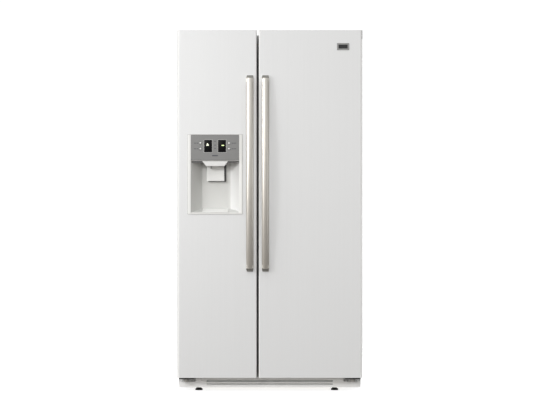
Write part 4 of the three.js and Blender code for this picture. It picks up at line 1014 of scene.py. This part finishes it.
def floor():
    """A pale floor that fades into the white surround."""
    bm = bmesh.new()
    turned(bm, (0, 0, -0.004), (0, 0, 1), [(FLOOR_REACH, 0.0), (FLOOR_REACH, 0.0035)], 96)
    mesh = bpy.data.meshes.new("floor")
    bm.to_mesh(mesh)
    bm.free()
    made = bpy.data.objects.new("floor", mesh)
    bpy.context.scene.collection.objects.link(made)
    n = Nodes("floor")
    n.shader.inputs["Base Color"].default_value = (0.45, 0.45, 0.45, 1)
    n.shader.inputs["Roughness"].default_value = 0.85
    n.shader.inputs["Emission Color"].default_value = (1, 1, 1, 1)
    n.shader.inputs["Emission Strength"].default_value = FLOOR_GLOW
    length = n.add("ShaderNodeVectorMath", operation="LENGTH")
    n.link(n.place, length.inputs[0])
    n.link(n.spread(length.outputs["Value"], 1, 0, FLOOR_FADE), n.shader.inputs["Alpha"])
    mesh.materials.append(n.material)
    made.visible_diffuse = False
    made.visible_glossy = False


def softbox(name, place, aim, size, power, shadowless=None, receivers=None):
    """A rectangular light. Objects in shadowless don't shade it; with receivers it lights only those."""
    data = bpy.data.lights.new(name, "AREA")
    data.shape = "RECTANGLE"
    data.size, data.size_y = size
    data.energy = power
    made = bpy.data.objects.new(name, data)
    made.location = place
    made.rotation_mode = "QUATERNION"
    made.rotation_quaternion = (Vector(aim) - Vector(place)).to_track_quat("-Z", "Y")
    made.light_linking.blocker_collection = shadowless
    made.light_linking.receiver_collection = receivers
    bpy.context.scene.collection.objects.link(made)


# How bright the surround is as light, from straight below (0) over level (0.5) to straight above (1).
SKY_STOPS = (
    (0.0, (0.12, 0.105, 0.095)),
    (0.25, (0.14, 0.125, 0.115)),
    (0.43, (0.28, 0.26, 0.24)),
    (0.5, (0.64, 0.63, 0.61)),
    (0.62, (0.8, 0.8, 0.79)),
    (1.0, (0.88, 0.89, 0.9)),
)
SKY_LEFT, SKY_RIGHT = 1.75, 0.45
BACKDROP = 0.8
SURROUND_SEEN = 1.05


def sky():
    """White to the camera; as light, bright above and to the left, a warm grey below, and even behind."""
    world = bpy.data.worlds.new("studio")
    bpy.context.scene.world = world
    world.use_nodes = True
    tree = world.node_tree
    light = tree.nodes["Background"]
    add = tree.nodes.new
    direction = add("ShaderNodeTexCoord").outputs["Generated"]
    parts = add("ShaderNodeSeparateXYZ")
    tree.links.new(direction, parts.inputs[0])
    height = add("ShaderNodeMapRange")
    height.inputs["From Min"].default_value = -1
    tree.links.new(parts.outputs["Z"], height.inputs["Value"])
    ramp = add("ShaderNodeValToRGB")
    tree.links.new(height.outputs["Result"], ramp.inputs["Fac"])
    while len(ramp.color_ramp.elements) < len(SKY_STOPS):
        ramp.color_ramp.elements.new(1.0)
    for element, (spot, colour) in zip(ramp.color_ramp.elements, SKY_STOPS):
        element.position = spot
        element.color = colour + (1,)
    side = add("ShaderNodeMapRange")
    side.inputs["From Min"].default_value = -1
    side.inputs["To Min"].default_value = SKY_LEFT
    side.inputs["To Max"].default_value = SKY_RIGHT
    tree.links.new(parts.outputs["X"], side.inputs["Value"])
    tree.links.new(ramp.outputs["Color"], light.inputs["Color"])
    tree.links.new(side.outputs["Result"], light.inputs["Strength"])
    backdrop = add("ShaderNodeBackground")
    backdrop.inputs["Color"].default_value = (1, 1, 0.99, 1)
    backdrop.inputs["Strength"].default_value = BACKDROP
    behind = add("ShaderNodeMapRange")
    behind.interpolation_type = "SMOOTHSTEP"
    behind.inputs["From Min"].default_value = -0.1
    behind.inputs["From Max"].default_value = 0.3
    tree.links.new(parts.outputs["Y"], behind.inputs["Value"])
    room = add("ShaderNodeMixShader")
    tree.links.new(behind.outputs["Result"], room.inputs[0])
    tree.links.new(light.outputs["Background"], room.inputs[1])
    tree.links.new(backdrop.outputs["Background"], room.inputs[2])
    white = add("ShaderNodeBackground")
    white.inputs["Color"].default_value = (1, 1, 1, 1)
    white.inputs["Strength"].default_value = SURROUND_SEEN
    pick = add("ShaderNodeMixShader")
    tree.links.new(add("ShaderNodeLightPath").outputs["Is Camera Ray"], pick.inputs[0])
    tree.links.new(room.outputs[0], pick.inputs[1])
    tree.links.new(white.outputs["Background"], pick.inputs[2])
    tree.links.new(pick.outputs[0], tree.nodes["World Output"].inputs["Surface"])


camera()
floor()
sky()
KEY_AIM = (0, DOOR_FRONT, 0.95)
without_handles = bpy.data.collections.new("no_shadow_from")
for made in HANDLE_PIECES:
    without_handles.objects.link(made)
for entry in without_handles.collection_objects:
    entry.light_linking.link_state = "EXCLUDE"
softbox("key", (-3.6, -6.5, 3.1), KEY_AIM, (0.8, 0.8), 114, without_handles)
softbox("fill", (-2.3, -5.9, 2.4), KEY_AIM, (3.0, 2.2), 32, without_handles)
softbox("near_left", (-1.9, -2.3, 1.5), (-0.3, DOOR_FRONT, 1.25), (0.7, 1.0), 10)
softbox("near_right", (1.9, -2.3, 1.0), (0.4, DOOR_FRONT, 0.9), (0.7, 1.2), 5.5, without_handles)
softbox("right_strip", (2.0, 0.25, 0.92), (0.445, DOOR_FRONT, 0.92), (0.4, 2.2), 13)
below_doors = bpy.data.collections.new("lit_from_below")
below_doors.objects.link(NODES["base_grille"])
softbox("low", (0, -1.9, 0.35), (0, -0.25, 0.04), (1.8, 0.3), 3, receivers=below_doors)

bpy.context.scene.view_settings.view_transform = "Standard"
